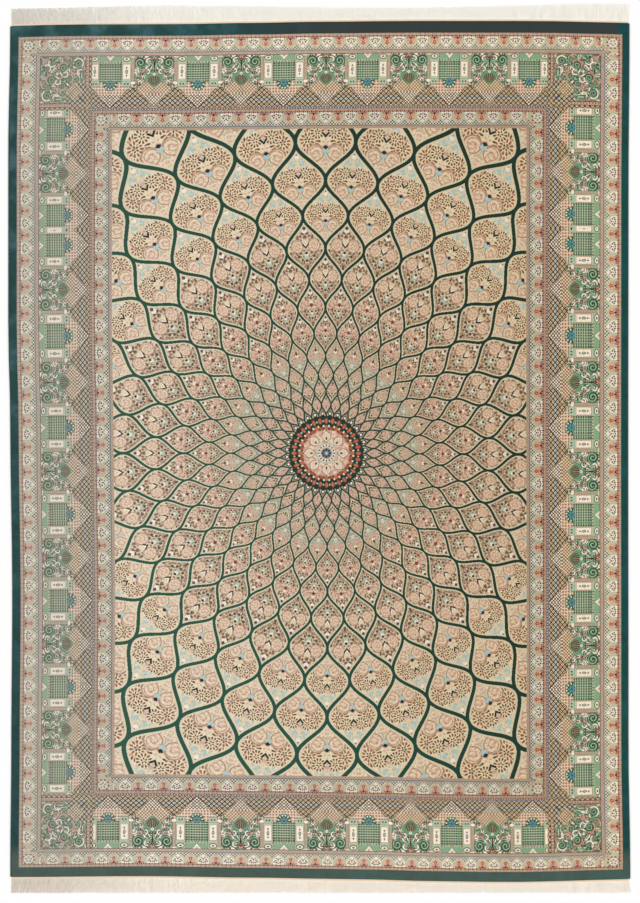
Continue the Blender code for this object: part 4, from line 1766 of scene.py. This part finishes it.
class OBJECT_OT_rug_fringe(bpy.types.Operator):
    """Make the flat-woven end strips and the dense comb of fringe strands."""

    bl_idname = "rug.fringe"
    bl_label = "Fringe"

    def execute(self, context):
        """Lay a ribbed strip along each end and a row of thin leaning strands out of it."""
        scene = context.scene
        sizes, dyes = scene.rug_sizes, scene.rug_dyes
        strip_yarn = yarn_material(
            "end_strip_silk", dyes.selvage, shown(244, 220, 192), (500.0, 90.0, 90.0), 0.7)
        along_strands = (260.0, 12.0, 200.0)
        strand_yarns = {
            "top": yarn_material("fringe_silk", dyes.fringe, shown(254, 246, 230),
                                 along_strands, 0.6, shown(210, 200, 186)),
            "bottom": yarn_material("fringe_silk_warm", shown(255, 250, 236), shown(252, 234, 214),
                                    along_strands, 0.6, shown(208, 194, 176)),
        }
        for side, sign in (("top", 1), ("bottom", -1)):
            node = "fringe_" + side
            low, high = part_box(node)
            fit(end_strip(side, sign, low, high), strip_yarn, node)
            strands = strand_mesh(side, sign, low, high, tip_line(node, sign),
                                  sizes.strands, sizes.strand_width)
            fit(strands, strand_yarns[side], node)
        return {"FINISHED"}


FLOOR_HALF, FLOOR_DROP = 12.0, 0.0004       # the floor lies just under the rug
LAMP_X, LAMP_Y, LAMP_HEIGHT, LAMP_SIZE = 3.2, 3.4, 4.6, 3.0
LAMP_AIM = 0.15                             # lamps point this share of their way out
VIEW_REACH = 60.0


class OBJECT_OT_rug_studio(bpy.types.Operator):
    """Set the floor, the lights and the camera straight above."""

    bl_idname = "rug.studio"
    bl_label = "Studio"

    def execute(self, context):
        """Place a pale floor, four soft lights, an even sky and the camera."""
        scene = context.scene
        studio = scene.rug_studio
        corners = [(-1, -1, 0), (1, -1, 0), (1, 1, 0), (-1, 1, 0)]
        floor = new_mesh("floor", FLOOR_HALF * np.array(corners, float), np.array([[0, 1, 2, 3]]))
        floor.location.z = -FLOOR_DROP
        paint, _, _ = new_material(
            "floor_paint", Base_Color=(0.97, 0.97, 0.97, 1.0), Roughness=0.9,
            Specular_IOR_Level=0.1)
        floor.data.materials.append(paint)
        for side_x, side_y in ((-1, 1), (1, 1), (-1, -1), (1, -1)):
            data = bpy.data.lights.new("soft_light", "AREA")
            data.shape = "SQUARE"
            data.size = LAMP_SIZE
            data.energy = studio.light
            lamp = bpy.data.objects.new("soft_light", data)
            lamp.location = (side_x * LAMP_X, side_y * LAMP_Y, LAMP_HEIGHT)
            aim = Vector((lamp.location.x * LAMP_AIM, lamp.location.y * LAMP_AIM, 0))
            lamp.rotation_euler = (aim - lamp.location).to_track_quat("-Z", "Y").to_euler()
            scene.collection.objects.link(lamp)
        world = bpy.data.worlds.new("studio_sky")
        world.use_nodes = True
        sky = {"Color": (1.0, 1.0, 1.0, 1.0), "Strength": studio.sky}
        feed(world.node_tree, world.node_tree.nodes["Background"], sky)
        scene.world = world
        scene.view_settings.view_transform = "Standard"
        data = bpy.data.cameras.new("camera")
        data.lens = studio.lens
        data.clip_end = VIEW_REACH
        camera = bpy.data.objects.new("camera", data)
        height = studio.frame_height * studio.lens / data.sensor_width
        camera.location = (*studio.aim, height)
        scene.collection.objects.link(camera)
        scene.camera = camera
        return {"FINISHED"}


class VIEW3D_PT_rug(bpy.types.Panel):
    """The rug's sizes and dyes, with a button for each group of pieces."""

    bl_label = "Silk rug"
    bl_space_type = "VIEW_3D"
    bl_region_type = "UI"
    bl_category = "Silk rug"

    def draw(self, context):
        """List the settings and the buttons."""
        scene = context.scene
        for settings in (scene.rug_sizes, scene.rug_studio, scene.rug_dyes):
            column = self.layout.column()
            for name in settings.__annotations__:
                column.prop(settings, name)
        for operator in OPERATORS:
            self.layout.operator(operator.bl_idname)


GROUPS = (RugSizes, RugDyes, RugStudio)
OPERATORS = (
    OBJECT_OT_rug_field, OBJECT_OT_rug_borders, OBJECT_OT_rug_weave, OBJECT_OT_rug_side_cords,
    OBJECT_OT_rug_fringe, OBJECT_OT_rug_studio,
)


def register():
    """Register the settings, operators and panel."""
    for made in (*GROUPS, *OPERATORS, VIEW3D_PT_rug):
        bpy.utils.register_class(made)
    bpy.types.Scene.rug_sizes = PointerProperty(type=RugSizes)
    bpy.types.Scene.rug_dyes = PointerProperty(type=RugDyes)
    bpy.types.Scene.rug_studio = PointerProperty(type=RugStudio)


def unregister():
    """Remove what register added."""
    del bpy.types.Scene.rug_studio, bpy.types.Scene.rug_dyes, bpy.types.Scene.rug_sizes
    for made in (VIEW3D_PT_rug, *OPERATORS[::-1], *GROUPS[::-1]):
        bpy.utils.unregister_class(made)


def declare_sheet():
    """Tell the frame that the rug is one sheet of cloth, cut to its own flat size."""
    parts = ["pile_" + zone.name for zone in ZONES] + ["pile_field", "cord_left", "cord_right"]
    parts += [kind + side for side in ("top", "bottom") for kind in ("strip_", "strands_")]


def main():
    """Dress the rug and set the studio."""
    register()
    for name in ("field", "borders", "weave", "side_cords", "fringe", "studio"):
        if getattr(bpy.ops.rug, name)() != {"FINISHED"}:
            raise RuntimeError("rug." + name + " did not finish")
    declare_sheet()


if __name__ == "__main__":
    main()
